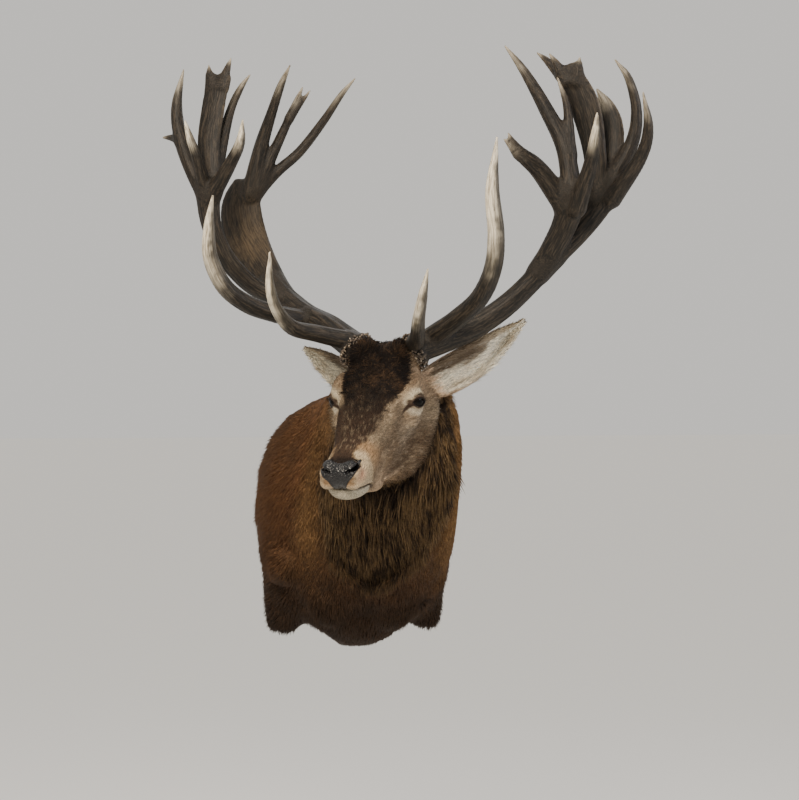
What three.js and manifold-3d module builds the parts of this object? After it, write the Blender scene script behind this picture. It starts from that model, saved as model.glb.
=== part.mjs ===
// Red deer stag shoulder mount: a head with many-tined antlers on a maned neck and shoulders,
// hung on a wall by a flat wooden back board. Millimetres, +Z up. The origin is the middle of the
// board's back face, the wall is the plane y = 0, and the animal looks towards -Y, its head turned
// to its own right (-X). The solids reach out to the tips of the coat.
import * as THREE from 'three';
import { mergeVertices } from 'three/addons/utils/BufferGeometryUtils.js';
import Module from 'manifold-3d';

const wasm = await Module();
wasm.setup();

// ---------------------------------------------------------------- driving dimensions
const gap = 0.4; // space left between two touching solids
const smallStep = 0.25; // features below this are smoothed away after a cut
const cutGap = 0.7; // the same, where a faceted curve is cut by another

const board = { halfWidth: 150, halfHeight: 205, thickness: 18, corner: 120 };

const head = {
  place: new THREE.Vector3(-7, -410, 366), // halfway between the two burrs
  yaw: 36, // degrees, turned to the animal's right
  pitch: 34.5, // degrees, nose down
};

const eye = { radius: 18.5, side: 79, along: 98, up: -57, openDeep: 26, openLong: 15, openHigh: 9 };

const ear = {
  halfWidth: 43,
  cup: 27, // depth of the hollow
  wall: 7, // thickness with its hair
};

const furColour = { coat: 0x5a3a22, mane: 0x3c2b1e, face: 0x54443a, ear: 0x8a7a66, pad: 0x17181a };
const antlerColour = 0x4a4036;

// ---------------------------------------------------------------- frames
const degree = Math.PI / 180;
const up = new THREE.Vector3(0, 0, 1);
const heading = new THREE.Vector3(-Math.sin(head.yaw * degree), -Math.cos(head.yaw * degree), 0);
const toLeft = new THREE.Vector3(Math.cos(head.yaw * degree), -Math.sin(head.yaw * degree), 0);
const faceAxis = heading.clone().multiplyScalar(Math.cos(head.pitch * degree))
  .addScaledVector(up, -Math.sin(head.pitch * degree));
const faceUp = heading.clone().multiplyScalar(Math.sin(head.pitch * degree))
  .addScaledVector(up, Math.cos(head.pitch * degree));

// a point of the head: to its left, along the face towards the nose, and up from that line
function headPoint(side, along, rise) {
  return head.place.clone().addScaledVector(toLeft, side)
    .addScaledVector(faceAxis, along).addScaledVector(faceUp, rise);
}

// a point of an antler: outward, forward of the burrs and above them; hand is 1 left, -1 right
function antlerPoint(hand, [out, forward, rise]) {
  return head.place.clone().addScaledVector(toLeft, hand * out)
    .addScaledVector(heading, forward).addScaledVector(up, rise);
}

// ---------------------------------------------------------------- solids
function toSolid(geometry) {
  const plain = geometry.clone();
  plain.deleteAttribute('normal');
  plain.deleteAttribute('uv');
  const merged = mergeVertices(plain, 1e-4);
  if (signedVolume(merged) < 0) turnOut(merged);
  return new wasm.Manifold(new wasm.Mesh({
    numProp: 3,
    vertProperties: new Float32Array(merged.attributes.position.array),
    triVerts: new Uint32Array(merged.index.array),
  }));
}

function toGeometry(solid) {
  const mesh = solid.getMesh();
  const geometry = new THREE.BufferGeometry();
  const corners = new Float32Array(mesh.vertProperties);
  geometry.setAttribute('position', new THREE.BufferAttribute(corners, 3));
  geometry.setIndex(new THREE.BufferAttribute(new Uint32Array(mesh.triVerts), 1));
  geometry.computeVertexNormals();
  return geometry;
}

// the biggest piece of a solid, without the crumbs that a cut can leave
function largest(solid) {
  const pieces = solid.decompose();
  return pieces.reduce((best, piece) => (piece.volume() > best.volume() ? piece : best));
}

// a closed skin over rings of points, each end shut by a fan
function loft(rings) {
  const count = rings[0].length;
  const positions = [];
  const index = [];
  for (const ring of rings) for (const point of ring) positions.push(point.x, point.y, point.z);
  for (let row = 0; row < rings.length - 1; row += 1) {
    for (let i = 0; i < count; i += 1) {
      const a = row * count + i;
      const b = row * count + (i + 1) % count;
      index.push(a, b, b + count, a, b + count, a + count);
    }
  }
  for (const [row, flip] of [[0, true], [rings.length - 1, false]]) {
    const middle = new THREE.Vector3();
    for (const point of rings[row]) middle.addScaledVector(point, 1 / count);
    const centre = positions.length / 3;
    positions.push(middle.x, middle.y, middle.z);
    for (let i = 0; i < count; i += 1) {
      const a = row * count + i;
      const b = row * count + (i + 1) % count;
      if (flip) index.push(centre, b, a);
      else index.push(centre, a, b);
    }
  }
  const geometry = new THREE.BufferGeometry();
  geometry.setAttribute('position', new THREE.Float32BufferAttribute(positions, 3));
  geometry.setIndex(index);
  return geometry;
}

function signedVolume(geometry) {
  const index = geometry.index.array;
  const places = geometry.attributes.position;
  const corner = (i) => new THREE.Vector3().fromBufferAttribute(places, index[i]);
  let volume = 0;
  for (let i = 0; i < index.length; i += 3) {
    volume += corner(i).dot(corner(i + 1).cross(corner(i + 2))) / 6;
  }
  return volume;
}

// swaps the winding of every triangle, so that the faces point out
function turnOut(geometry) {
  const index = geometry.index.array;
  for (let i = 0; i < index.length; i += 3) [index[i], index[i + 1]] = [index[i + 1], index[i]];
}

// values between stations, smoothly: each row of numbers is interpolated by Catmull-Rom
function between(rows, t) {
  const last = rows.length - 1;
  const place = Math.min(Math.max(t, 0), 1) * last;
  const i = Math.min(Math.floor(place), last - 1);
  const f = place - i;
  const pick = (k) => rows[Math.min(Math.max(k, 0), last)];
  return rows[i].map((_, column) => {
    const [a, b, c, d] = [pick(i - 1), pick(i), pick(i + 1), pick(i + 2)].map((row) => row[column]);
    return b + 0.5 * f * (c - a + f * (2 * a - 5 * b + 4 * c - d + f * (3 * (b - c) + d - a)));
  });
}

function ellipsoid(centre, radii, turn = 0) {
  const geometry = new THREE.SphereGeometry(1, 14, 8);
  geometry.scale(...radii).rotateZ(turn * degree).translate(centre.x, centre.y, centre.z);
  return toSolid(geometry);
}

// a block that fills one side of a plane
function halfSpace(point, normal, reach = 1500) {
  const geometry = new THREE.BoxGeometry(2 * reach, 2 * reach, reach).translate(0, 0, reach / 2);
  const turn = new THREE.Quaternion().setFromUnitVectors(up, normal.clone().normalize());
  geometry.applyQuaternion(turn).translate(point.x, point.y, point.z);
  return toSolid(geometry);
}

// a tapered branch along a curve; sizes are [half width, half thickness] in millimetres, and the
// width lies along the wide direction
function branch(points, sizes, { sides = 8, steps = 3, wide = heading, swell = 0 } = {}) {
  const curve = new THREE.CatmullRomCurve3(points, false, 'centripetal');
  const rows = sizes.map((size) => (Array.isArray(size) ? size : [size, size]));
  const count = (points.length - 1) * steps;
  const round = 1 / Math.sqrt(Math.cos(Math.PI / sides)); // makes up for the flats of the section
  const rings = [];
  for (let i = 0; i <= count; i += 1) {
    const t = i / count;
    const middle = curve.getPoint(t);
    const tangent = curve.getTangent(t);
    const across = wide.clone().addScaledVector(tangent, -wide.dot(tangent)).normalize();
    const through = tangent.clone().cross(across);
    const [halfWidth, halfThickness] = between(rows, t).map((half) => half * round + swell);
    if (i === 0) middle.addScaledVector(tangent, -swell);
    if (i === count) middle.addScaledVector(tangent, swell);
    const ring = [];
    for (let k = 0; k < sides; k += 1) {
      const angle = (k + 0.5) * 2 * Math.PI / sides;
      ring.push(middle.clone()
        .addScaledVector(across, Math.cos(angle) * halfWidth)
        .addScaledVector(through, Math.sin(angle) * halfThickness));
    }
    rings.push(ring);
  }
  return toSolid(loft(rings));
}

// ---------------------------------------------------------------- trunk, neck and shoulders
const trunkMiddle = 8; // the body hangs this far to the left of the board's middle

// each station of the body: the top point, the bottom point, half the width, and the way it turns
const bodyStations = [
  [8, 0, 276, 8, 0, -232, 196, 0],
  [8, -70, 284, 8, -90, -246, 206, 0],
  [10, -145, 292, 4, -190, -236, 200, 3],
  [17, -205, 304, 2, -292, -190, 178, 8],
  [26, -262, 322, -2, -368, -100, 162, 14],
  [32, -312, 342, -12, -412, 0, 152, 20],
  [26, -356, 358, -28, -430, 80, 132, 28],
  [8, -394, 364, -40, -432, 146, 90, 36],
];
const shoulder = { side: 126, along: -118, rise: -40, size: [82, 108, 180], turn: 8 };
const brisket = { place: [-6, -172, -158], size: [116, 126, 100] };
const legStub = {
  route: [[136, -118, -60], [150, -116, -140], [152, -108, -226]],
  size: [[64, 62], [56, 50], [42, 38]],
  inner: 98, // the leg starts this far from the middle
  top: -138, // and this far down
};

function bodyRing(t, points = 20) {
  const [topX, topY, topZ, lowX, lowY, lowZ, half, turn] = between(bodyStations, t);
  const top = new THREE.Vector3(topX, topY, topZ);
  const low = new THREE.Vector3(lowX, lowY, lowZ);
  const middle = top.clone().add(low).multiplyScalar(0.5);
  const rise = top.clone().sub(low).multiplyScalar(0.5);
  const across = new THREE.Vector3(Math.cos(turn * degree), -Math.sin(turn * degree), 0);
  const square = 0.88; // below 1 fills out the corners of the oval
  const ring = [];
  for (let k = 0; k < points; k += 1) {
    const angle = k * 2 * Math.PI / points;
    const side = Math.sign(Math.sin(angle)) * Math.abs(Math.sin(angle)) ** square;
    ring.push(middle.clone().addScaledVector(across, side * half)
      .addScaledVector(rise, Math.sign(Math.cos(angle)) * Math.abs(Math.cos(angle)) ** square));
  }
  return ring;
}

function makeBody() {
  const rings = [];
  const count = 10;
  for (let i = 0; i <= count; i += 1) rings.push(bodyRing(i / count));
  let body = toSolid(loft(rings));
  for (const hand of [1, -1]) {
    const place = new THREE.Vector3(trunkMiddle + hand * shoulder.side, shoulder.along, shoulder.rise);
    body = body.add(ellipsoid(place, shoulder.size, hand * shoulder.turn)).add(makeForeleg(hand));
  }
  return body.add(ellipsoid(new THREE.Vector3(...brisket.place), brisket.size));
}

function makeForeleg(hand) {
  const points = legStub.route.map(([side, y, z]) => new THREE.Vector3(trunkMiddle + hand * side, y, z));
  return branch(points, legStub.size, { sides: 12, steps: 2, wide: new THREE.Vector3(0, 1, 0) });
}

// the block that parts one foreleg stub from the trunk
function legZone(hand, swell = 0) {
  const inner = new THREE.Vector3(trunkMiddle + hand * (legStub.inner - swell), 0, 0);
  const side = halfSpace(inner, new THREE.Vector3(hand, 0, 0));
  return side.intersect(halfSpace(new THREE.Vector3(0, 0, legStub.top + swell), up.clone().negate()));
}

// ---------------------------------------------------------------- head
// each station of the head: distance along the face, top, widest level, bottom, half width, and
// how much narrower it grows towards the bottom
const headStations = [
  [-62, -22, -85, -165, 52, 0.05],
  [-40, 0, -82, -196, 64, 0.08],
  [0, 13, -72, -218, 74, 0.08],
  [45, 12, -62, -222, 84, 0.12],
  [90, -2, -52, -221, 93, 0.2],
  [130, -17, -68, -214, 82, 0.1],
  [170, -28, -80, -201, 69, 0.12],
  [215, -36, -88, -180, 57, 0.16],
  [260, -41, -90, -158, 51, 0.15],
  [295, -42, -88, -143, 51, 0.1],
  [320, -45, -88, -131, 47, 0.06],
  [338, -56, -90, -114, 34, 0],
];
const headFullness = 0.86; // below 1 fills out the oval of each station

function headRing(t, swell, points = 18) {
  const [along, top, widest, bottom, half, taper] = between(headStations, t);
  const ring = [];
  for (let k = 0; k < points; k += 1) {
    const angle = k * 2 * Math.PI / points;
    const rise = Math.sign(Math.cos(angle)) * Math.abs(Math.cos(angle)) ** headFullness;
    const level = rise > 0 ? widest + (top - widest) * rise : widest + (widest - bottom) * rise;
    const out = Math.sign(Math.sin(angle)) * Math.abs(Math.sin(angle)) ** headFullness;
    const side = half * out * (1 - taper * Math.max(0, -rise));
    ring.push(headPoint(side + swell * out, along, level + swell * rise));
  }
  return ring;
}

function makeHead(swell = 0) {
  const rings = [];
  const count = 14;
  for (let i = 0; i <= count; i += 1) rings.push(headRing(i / count, swell));
  let solid = toSolid(loft(rings));
  for (const hand of [1, -1]) solid = solid.add(pedicle(hand, swell));
  return solid;
}

// the furred stump that carries each antler
function pedicle(hand, swell) {
  const points = [headPoint(hand * 38, 12, -50), antlerPoint(hand, burr[hand].seat)];
  return branch(points, [36, 32], { sides: 10, steps: 1, swell });
}

function makeNosePad(points = 14) {
  const rings = [];
  const depths = [[312, 31, 21], [336, 36, 25], [347, 30, 20], [351, 19, 12]];
  for (const [along, halfWidth, halfHeight] of depths) {
    const ring = [];
    for (let k = 0; k < points; k += 1) {
      const angle = k * 2 * Math.PI / points;
      const tilt = -0.25 * Math.cos(angle) * halfHeight; // the top leans back
      ring.push(headPoint(Math.sin(angle) * halfWidth, along + tilt, -62 + Math.cos(angle) * halfHeight));
    }
    rings.push(ring);
  }
  return toSolid(loft(rings));
}

function eyeball(hand, swell = 0) {
  const centre = headPoint(hand * eye.side, eye.along, eye.up);
  const geometry = new THREE.SphereGeometry(eye.radius + swell, 10, 6);
  return toSolid(geometry.translate(centre.x, centre.y, centre.z));
}

// the dent between the lids, through which the eyeball shows
function lidOpening(hand) {
  const geometry = new THREE.SphereGeometry(1, 8, 5).scale(eye.openDeep, eye.openLong, eye.openHigh);
  const basis = new THREE.Matrix4().makeBasis(toLeft, faceAxis, faceUp);
  const centre = headPoint(hand * (eye.side + eye.openDeep), eye.along + 3, eye.up + 1);
  geometry.applyMatrix4(basis).translate(centre.x, centre.y, centre.z);
  return toSolid(geometry);
}

// ---------------------------------------------------------------- ears
// base, tip and facing of each ear: outward, forward and up of the burrs
const earPlaces = {
  1: { base: [68, -26, -80], tip: [251, -118, 55], facing: [0.3, 0.93, -0.2] },
  '-1': { base: [68, -26, -78], tip: [243, -165, 7], facing: [0.5, 0.83, -0.2] },
};

function makeEar(hand, swell = 0) {
  const { base, tip, facing } = earPlaces[hand];
  const start = antlerPoint(hand, base);
  const end = antlerPoint(hand, tip);
  const axis = end.clone().sub(start).normalize();
  const length = end.distanceTo(start);
  const open = antlerPoint(hand, facing).sub(head.place);
  open.addScaledVector(axis, -open.dot(axis)).normalize();
  const across = axis.clone().cross(open);
  const rings = [];
  const rows = 9;
  const arc = 6;
  for (let i = 0; i <= rows; i += 1) {
    const t = i / rows;
    const leaf = Math.sin(Math.PI * Math.min(1, 0.2 + 0.8 * t ** 0.82)) ** 0.72;
    const width = ear.halfWidth * Math.max(0.09, leaf);
    const cup = ear.cup * (1 - 0.75 * t) * Math.min(1, width / 20);
    const wall = ear.wall * (1.5 - 0.9 * t) * Math.min(1, width / 14);
    const middle = start.clone().addScaledVector(axis, t * length + swell * (2 * t - 1))
      .addScaledVector(open, -14 * Math.sin(Math.PI * t));
    const ring = [];
    for (let k = 0; k <= arc; k += 1) { // the furred back
      const angle = (k / arc - 0.5) * Math.PI * 0.98;
      ring.push(middle.clone().addScaledVector(across, Math.sin(angle) * (width + swell))
        .addScaledVector(open, -Math.cos(angle) * (cup + wall + swell)));
    }
    for (let k = arc - 1; k > 0; k -= 1) { // the hollow front, filled where room is made for an ear
      const angle = (k / arc - 0.5) * Math.PI * 0.98;
      const depth = swell ? -2 * swell : Math.cos(angle) * cup * 0.9 - wall * 0.2;
      ring.push(middle.clone().addScaledVector(across, Math.sin(angle) * (width - wall * 0.3 + swell))
        .addScaledVector(open, -depth));
    }
    rings.push(ring);
  }
  return toSolid(loft(rings));
}

// ---------------------------------------------------------------- antlers
const burr = {
  1: { seat: [57, 0, -8], top: [74, -8, 2], radius: 37 },
  '-1': { seat: [57, 0, -6], top: [75, -6, 6], radius: 37 },
};

// Each antler grows from its burr as a beam with a brow and a bey tine, and forks high up into a
// front and a rear palm that carry the crown. A branch is its route (outward, forward, up) and its
// half thickness at each point, [width, thickness] where it is flat; later branches stand on
// earlier ones. A prong belongs to the branch that it is listed under.
const antlers = {
  1: {
    beam: {
      route: [
        [57, 0, -4], [106, -25, 14], [158, -55, 38], [212, -80, 76], [263, -98, 124],
        [312, -110, 180],
      ],
      size: [29, 26, 24, 22, 21, 22],
    },
    brow_tine: {
      route: [[64, 10, 8], [95, 80, 19], [120, 140, 53], [140, 175, 94], [156, 192, 141]],
      size: [18, 15, 12, 9, 2],
    },
    bey_tine: {
      route: [
        [94, -12, 22], [160, 25, 57], [219, 70, 94], [257, 110, 146], [272, 140, 205],
        [271, 160, 287], [283, 170, 383],
      ],
      size: [21, 19, 18, 17, 16, 13, 2],
    },
    rear_palm: {
      route: [[286, -104, 152], [349, -120, 222], [391, -130, 277], [418, -135, 323]],
      size: [[21, 19], [27, 17], [31, 15], [32, 13]],
    },
    front_palm: {
      route: [[284, -102, 150], [337, -82, 227], [361, -60, 277], [369, -52, 313]],
      size: [[20, 18], [24, 16], [27, 15], [26, 13]],
    },
    plate: {
      route: [[399, -130, 290], [394, -118, 389], [378, -102, 476], [347, -88, 548]],
      size: [[20, 13], [24, 10], [30, 8], [21, 6]],
      prongs: [
        { route: [[342, -90, 520], [328, -88, 552], [312, -84, 577]], size: [13, 9, 2] },
        { route: [[362, -92, 520], [370, -90, 545], [372, -88, 566]], size: [12, 8, 2] },
        { route: [[330, -100, 535], [303, -112, 565], [277, -120, 587]], size: [11, 8, 2] },
      ],
    },
    fin: {
      route: [[421, -142, 340], [422, -155, 425], [410, -162, 475], [389, -162, 514]],
      size: [[20, 10], [23, 8], [17, 6], [3, 3]],
    },
    rear_tine: {
      route: [[419, -137, 318], [462, -142, 399], [474, -136, 462], [463, -120, 523], [439, -105, 561]],
      size: [18, 14, 11, 8, 2],
    },
    outer_tine: {
      route: [[428, -127, 292], [489, -105, 368], [509, -85, 423], [505, -60, 487]],
      size: [18, 13, 10, 2],
    },
    fork_tine: {
      route: [[346, -62, 280], [309, -30, 340], [283, 0, 368], [252, 22, 398]],
      size: [22, 18, 14, 2],
      prongs: [{ route: [[276, 6, 372], [268, 16, 392], [261, 25, 409]], size: [10, 7, 2] }],
    },
    high_tine: {
      route: [[366, -55, 300], [349, -60, 388], [312, -55, 467], [274, -40, 537], [239, -25, 587]],
      size: [20, 17, 14, 9, 2],
    },
    short_tine: { route: [[362, -58, 375], [353, -65, 466], [335, -60, 525]], size: [12, 8, 2] },
    fore_tine: {
      route: [[377, -52, 268], [412, -15, 347], [428, 10, 395], [436, 25, 440]],
      size: [18, 13.5, 10, 2],
    },
  },
  '-1': {
    beam: {
      route: [[57, 0, -2], [121, -25, 37], [186, -55, 67], [239, -80, 100], [288, -100, 140]],
      size: [29, 27, 24, 23, 23],
    },
    brow_tine: {
      route: [
        [72, 10, 15], [119, 60, 28], [153, 110, 40], [168, 150, 74], [170, 178, 119],
        [164, 192, 181],
      ],
      size: [19, 17, 15, 12, 9, 2],
    },
    bey_tine: {
      route: [
        [191, -44, 60], [229, 15, 71], [268, 65, 89], [299, 105, 122], [316, 135, 177],
        [310, 155, 235], [296, 168, 297],
      ],
      size: [20, 18, 18, 17, 15, 11, 2],
    },
    rear_palm: {
      route: [[262, -92, 117], [322, -125, 187], [363, -150, 247], [377, -160, 305], [363, -160, 351]],
      size: [[22, 20], [31, 16], [38, 14], [37, 13], [25, 12]],
    },
    front_palm: {
      route: [
        [256, -86, 106], [303, -62, 127], [333, -40, 155], [360, -20, 195], [378, -5, 246],
        [385, 0, 297], [382, 0, 336],
      ],
      size: [[21, 20], [20, 17], [20, 16], [20, 15], [21, 14], [25, 13], [25, 12]],
    },
    front_outer_tine: {
      route: [[388, 0, 308], [428, 0, 380], [453, -5, 444], [462, -10, 507], [449, -15, 579]],
      size: [18, 15, 14, 11, 2],
      prongs: [{ route: [[450, -5, 432], [478, -18, 440], [504, -28, 443]], size: [11, 7, 2] }],
    },
    front_plate: {
      route: [[383, -4, 322], [392, -15, 422], [385, -20, 494], [374, -25, 560]],
      size: [[22, 12], [25, 10], [26, 8], [26, 6]],
      prongs: [
        { route: [[366, -24, 540], [356, -24, 572], [346, -24, 597]], size: [13, 9, 2] },
        { route: [[388, -24, 540], [394, -24, 567], [396, -24, 586]], size: [12, 8, 2] },
      ],
    },
    white_tine: {
      route: [[388, 4, 320], [393, 35, 385], [403, 50, 428], [410, 58, 462]],
      size: [14, 11, 8, 2],
    },
    front_rear_tine: {
      route: [[378, -10, 335], [374, -45, 435], [361, -55, 497], [342, -58, 538], [320, -60, 568]],
      size: [14, 12, 9, 7, 2],
    },
    inner_tine: {
      route: [[373, 5, 318], [324, 25, 377], [299, 35, 415], [290, 40, 461]],
      size: [17, 13, 10, 2],
    },
    rear_tine: {
      route: [[364, -158, 335], [338, -155, 430], [310, -145, 497], [281, -130, 554], [254, -115, 592]],
      size: [19, 15, 11, 8, 2],
    },
    forked_tine: {
      route: [[348, -162, 345], [313, -172, 427], [287, -175, 481], [266, -174, 524], [248, -170, 556]],
      size: [13, 11, 9, 6.5, 2],
      prongs: [{ route: [[280, -175, 492], [256, -177, 522], [235, -178, 548]], size: [7.5, 5.5, 2] }],
    },
    long_tine: {
      route: [
        [358, -162, 330], [316, -185, 380], [270, -205, 425], [221, -215, 487], [179, -212, 540],
        [144, -205, 573],
      ],
      size: [16, 12, 10.5, 9, 6.5, 2],
    },
  },
};

function grow(hand, { route, size, prongs = [] }, swell = 0) {
  const flat = size[0].length > 1;
  const options = { sides: flat ? 8 : 6, steps: route.length > 5 ? 1 : 2, wide: toLeft, swell };
  let solid = branch(route.map((p) => antlerPoint(hand, p)), size, options);
  for (const prong of prongs) {
    const points = prong.route.map((p) => antlerPoint(hand, p));
    solid = solid.add(branch(points, prong.size, { ...options, sides: 5, steps: 1 }));
  }
  return solid;
}

function makeBurr(hand, swell = 0) {
  const { seat, top, radius } = burr[hand];
  const low = antlerPoint(hand, seat);
  const high = antlerPoint(hand, top);
  const route = [0, 0.4, 0.7, 1].map((t) => low.clone().lerp(high, t));
  return branch(route, [radius - 7, radius, radius - 1, radius - 9], { sides: 12, steps: 1, swell });
}

// ---------------------------------------------------------------- back board
function makeBoard() {
  const { halfWidth, halfHeight, thickness, corner } = board;
  const outline = new THREE.Shape();
  outline.moveTo(-halfWidth + corner, -halfHeight);
  outline.lineTo(halfWidth - corner, -halfHeight);
  outline.absarc(halfWidth - corner, -halfHeight + corner, corner, -Math.PI / 2, 0);
  outline.lineTo(halfWidth, halfHeight - corner);
  outline.absarc(halfWidth - corner, halfHeight - corner, corner, 0, Math.PI / 2);
  outline.lineTo(-halfWidth + corner, halfHeight);
  outline.absarc(-halfWidth + corner, halfHeight - corner, corner, Math.PI / 2, Math.PI);
  outline.lineTo(-halfWidth, -halfHeight + corner);
  outline.absarc(-halfWidth + corner, -halfHeight + corner, corner, Math.PI, Math.PI * 1.5);
  const options = { depth: thickness, bevelEnabled: false, curveSegments: 4 };
  const geometry = new THREE.ExtrudeGeometry(outline, options);
  geometry.rotateX(Math.PI / 2);
  return toSolid(geometry);
}

// ---------------------------------------------------------------- parting the model
const nodes = [];
function keep(name, solid, color, roughness = 0.85) {
  const material = new THREE.MeshStandardMaterial({ color, roughness, metalness: 0 });
  const mesh = new THREE.Mesh(toGeometry(largest(solid).simplify(smallStep)), material);
  mesh.name = name;
  nodes.push(mesh);
}

const hands = [[1, 'left'], [-1, 'right']];

keep('back_board', makeBoard(), 0x6b4a2e, 0.6);

const fromBoard = halfSpace(new THREE.Vector3(0, -board.thickness - gap, 0), new THREE.Vector3(0, -1, 0));
const skull = makeHead();
const body = makeBody().intersect(fromBoard);

// the head ends at the nape on a slanting cut, and the neck closes around what is behind it
const nape = headPoint(0, -34, 0);
const cut = faceAxis.clone().addScaledVector(faceUp, -0.12).normalize();
const headZone = halfSpace(nape, cut);
let headSolid = skull.intersect(headZone);
const headRoom = makeHead(gap).intersect(halfSpace(nape.clone().addScaledVector(cut, -gap), cut));
const flesh = body.add(skull.subtract(headZone)).subtract(headRoom);

// the trunk ends and the neck begins on a plane that leans from the withers to the breast
const neckLean = new THREE.Vector3(0, -1, 0.25).normalize();
const neckBase = new THREE.Vector3(0, -222, 0);
const trunkZone = halfSpace(neckBase, neckLean.clone().negate());
const neckZone = halfSpace(neckBase.clone().addScaledVector(neckLean, gap), neckLean);
let neckSolid = flesh.intersect(neckZone);
let trunkSolid = flesh.intersect(trunkZone);
for (const [hand, side] of hands) {
  keep(`foreleg_${side}`, trunkSolid.intersect(legZone(hand)), furColour.coat);
  trunkSolid = trunkSolid.subtract(legZone(hand, gap));
}
keep('trunk', trunkSolid, furColour.coat);

// eyes, nose pad, muzzle and lower jaw are taken out of the head in turn
const padSolid = makeNosePad();
keep('nose_pad', padSolid, furColour.pad, 0.3);
const padRoom = padSolid.add(padSolid.translate(faceAxis.clone().multiplyScalar(-gap).toArray()));
for (const [hand, side] of hands) {
  keep(`eye_${side}`, eyeball(hand), 0x1c110a, 0.1);
  headSolid = headSolid.subtract(eyeball(hand, gap)).subtract(lidOpening(hand));
}
headSolid = headSolid.subtract(padRoom);

const mouthFront = headPoint(0, 350, -91);
const mouthBack = headPoint(0, 150, -140);
const mouthUp = mouthFront.clone().sub(mouthBack).cross(toLeft).normalize();
if (mouthUp.dot(faceUp) < 0) mouthUp.negate();
const jawStart = headPoint(0, 168, 0);
const jawZone = halfSpace(mouthBack, mouthUp.clone().negate()).intersect(halfSpace(jawStart, faceAxis));
const jawRoom = halfSpace(mouthBack.clone().addScaledVector(mouthUp, gap), mouthUp.clone().negate())
  .intersect(halfSpace(jawStart.clone().addScaledVector(faceAxis, -gap), faceAxis));
keep('lower_jaw', headSolid.intersect(jawZone), furColour.face);
headSolid = headSolid.subtract(jawRoom);

const muzzleStart = headPoint(0, 205, 0);
keep('muzzle', headSolid.intersect(halfSpace(muzzleStart, faceAxis)), furColour.face);
const faceBack = faceAxis.clone().negate();
headSolid = headSolid.intersect(halfSpace(muzzleStart.clone().addScaledVector(faceBack, gap), faceBack));

for (const [hand, side] of hands) {
  keep(`ear_${side}`, makeEar(hand), furColour.ear);
  headSolid = headSolid.subtract(makeEar(hand, cutGap)).subtract(makeBurr(hand, cutGap));
  neckSolid = neckSolid.subtract(makeEar(hand, cutGap)).subtract(makeBurr(hand, cutGap));
}
keep('neck', neckSolid, furColour.mane);
keep('head', headSolid, furColour.face);

for (const [hand, side] of hands) {
  const made = [makeBurr(hand, cutGap)];
  keep(`antler_${side}_burr`, makeBurr(hand), antlerColour);
  for (const [part, shape] of Object.entries(antlers[hand])) {
    let solid = grow(hand, shape);
    for (const earlier of made) solid = solid.subtract(earlier);
    keep(`antler_${side}_${part}`, solid, antlerColour);
    made.push(grow(hand, shape, cutGap));
  }
}

const stag = new THREE.Group();
stag.add(...nodes);

export default stag;
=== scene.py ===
import bpy
import bmesh
import math
import numpy as np
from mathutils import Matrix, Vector
from mathutils.bvhtree import BVHTree


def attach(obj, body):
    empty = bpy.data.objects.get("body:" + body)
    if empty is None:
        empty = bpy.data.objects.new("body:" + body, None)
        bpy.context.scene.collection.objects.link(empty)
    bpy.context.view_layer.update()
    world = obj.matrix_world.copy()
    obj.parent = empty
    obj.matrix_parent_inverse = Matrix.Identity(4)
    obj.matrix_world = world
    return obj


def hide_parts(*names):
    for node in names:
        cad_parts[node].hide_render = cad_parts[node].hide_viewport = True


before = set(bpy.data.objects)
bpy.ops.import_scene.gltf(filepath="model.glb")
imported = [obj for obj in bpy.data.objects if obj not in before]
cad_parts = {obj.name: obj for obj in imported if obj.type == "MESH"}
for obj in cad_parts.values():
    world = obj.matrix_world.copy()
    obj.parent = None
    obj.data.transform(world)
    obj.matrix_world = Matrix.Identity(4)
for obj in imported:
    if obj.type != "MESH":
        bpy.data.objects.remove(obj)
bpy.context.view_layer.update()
print("frame loaded,", len(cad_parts), "solids")

mm = 0.001
rng = np.random.default_rng(42)

# the head's own directions: side is to its left, along runs from the burrs towards the nose
headPose = {"place": (-7, -410, 366), "yaw": 36, "pitch": 34.5}  # millimetres and degrees

yaw = math.radians(headPose["yaw"])
pitch = math.radians(headPose["pitch"])
headPlace = np.array(headPose["place"], float)
upAxis = np.array([0, 0, 1.0])
heading = np.array([-math.sin(yaw), -math.cos(yaw), 0])
leftAxis = np.array([math.cos(yaw), -math.sin(yaw), 0])
faceAxis = heading * math.cos(pitch) - upAxis * math.sin(pitch)
faceUp = heading * math.sin(pitch) + upAxis * math.cos(pitch)
headAxes = np.stack([leftAxis, faceAxis, faceUp])


def headPoint(side, along, rise):
    return headPlace + np.array([side, along, rise], float) @ headAxes


def toHead(points):
    return (points - headPlace) @ headAxes.T


# a point of an antler: outward, forward of the burrs and above them
def antlerPoint(hand, out, forward, rise):
    return headPlace + leftAxis * hand * out + heading * forward + upAxis * rise


def unit(vectors):
    return vectors / np.maximum(np.linalg.norm(vectors, axis=-1, keepdims=True), 1e-9)


# ---- camera, light and floor
cameraSetup = {"place": (-1042.3, -4122.4, 264.0), "azimuth": -16.0, "lens": 87.8}
lightSetup = {
    "key": {"kind": "AREA", "place": (-1150, -2200, 1700), "size": 1200, "power": 84,
            "colour": "#FFF0DC"},
    "fill": {"kind": "AREA", "place": (2055, -1885, 1150), "size": 300, "power": 28, "colour": "#F0F3FF"},
    "rim": {"kind": "AREA", "place": (900, 1500, 1900), "size": 1500, "power": 12, "colour": "#FFFFFF"},
    "sky": {"kind": "SUN", "place": (-800, -1500, 3000), "size": 900, "power": 0.75, "colour": "#FFFAF2"},
}
lightAim = (-50, -450, 250)  # the place that every lamp points at
world = {"colour": "#EEEBE6", "strength": 0.86}
floorSetup = {"level": -980, "reach": 60000, "colour": "#E6E4E0"}


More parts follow.
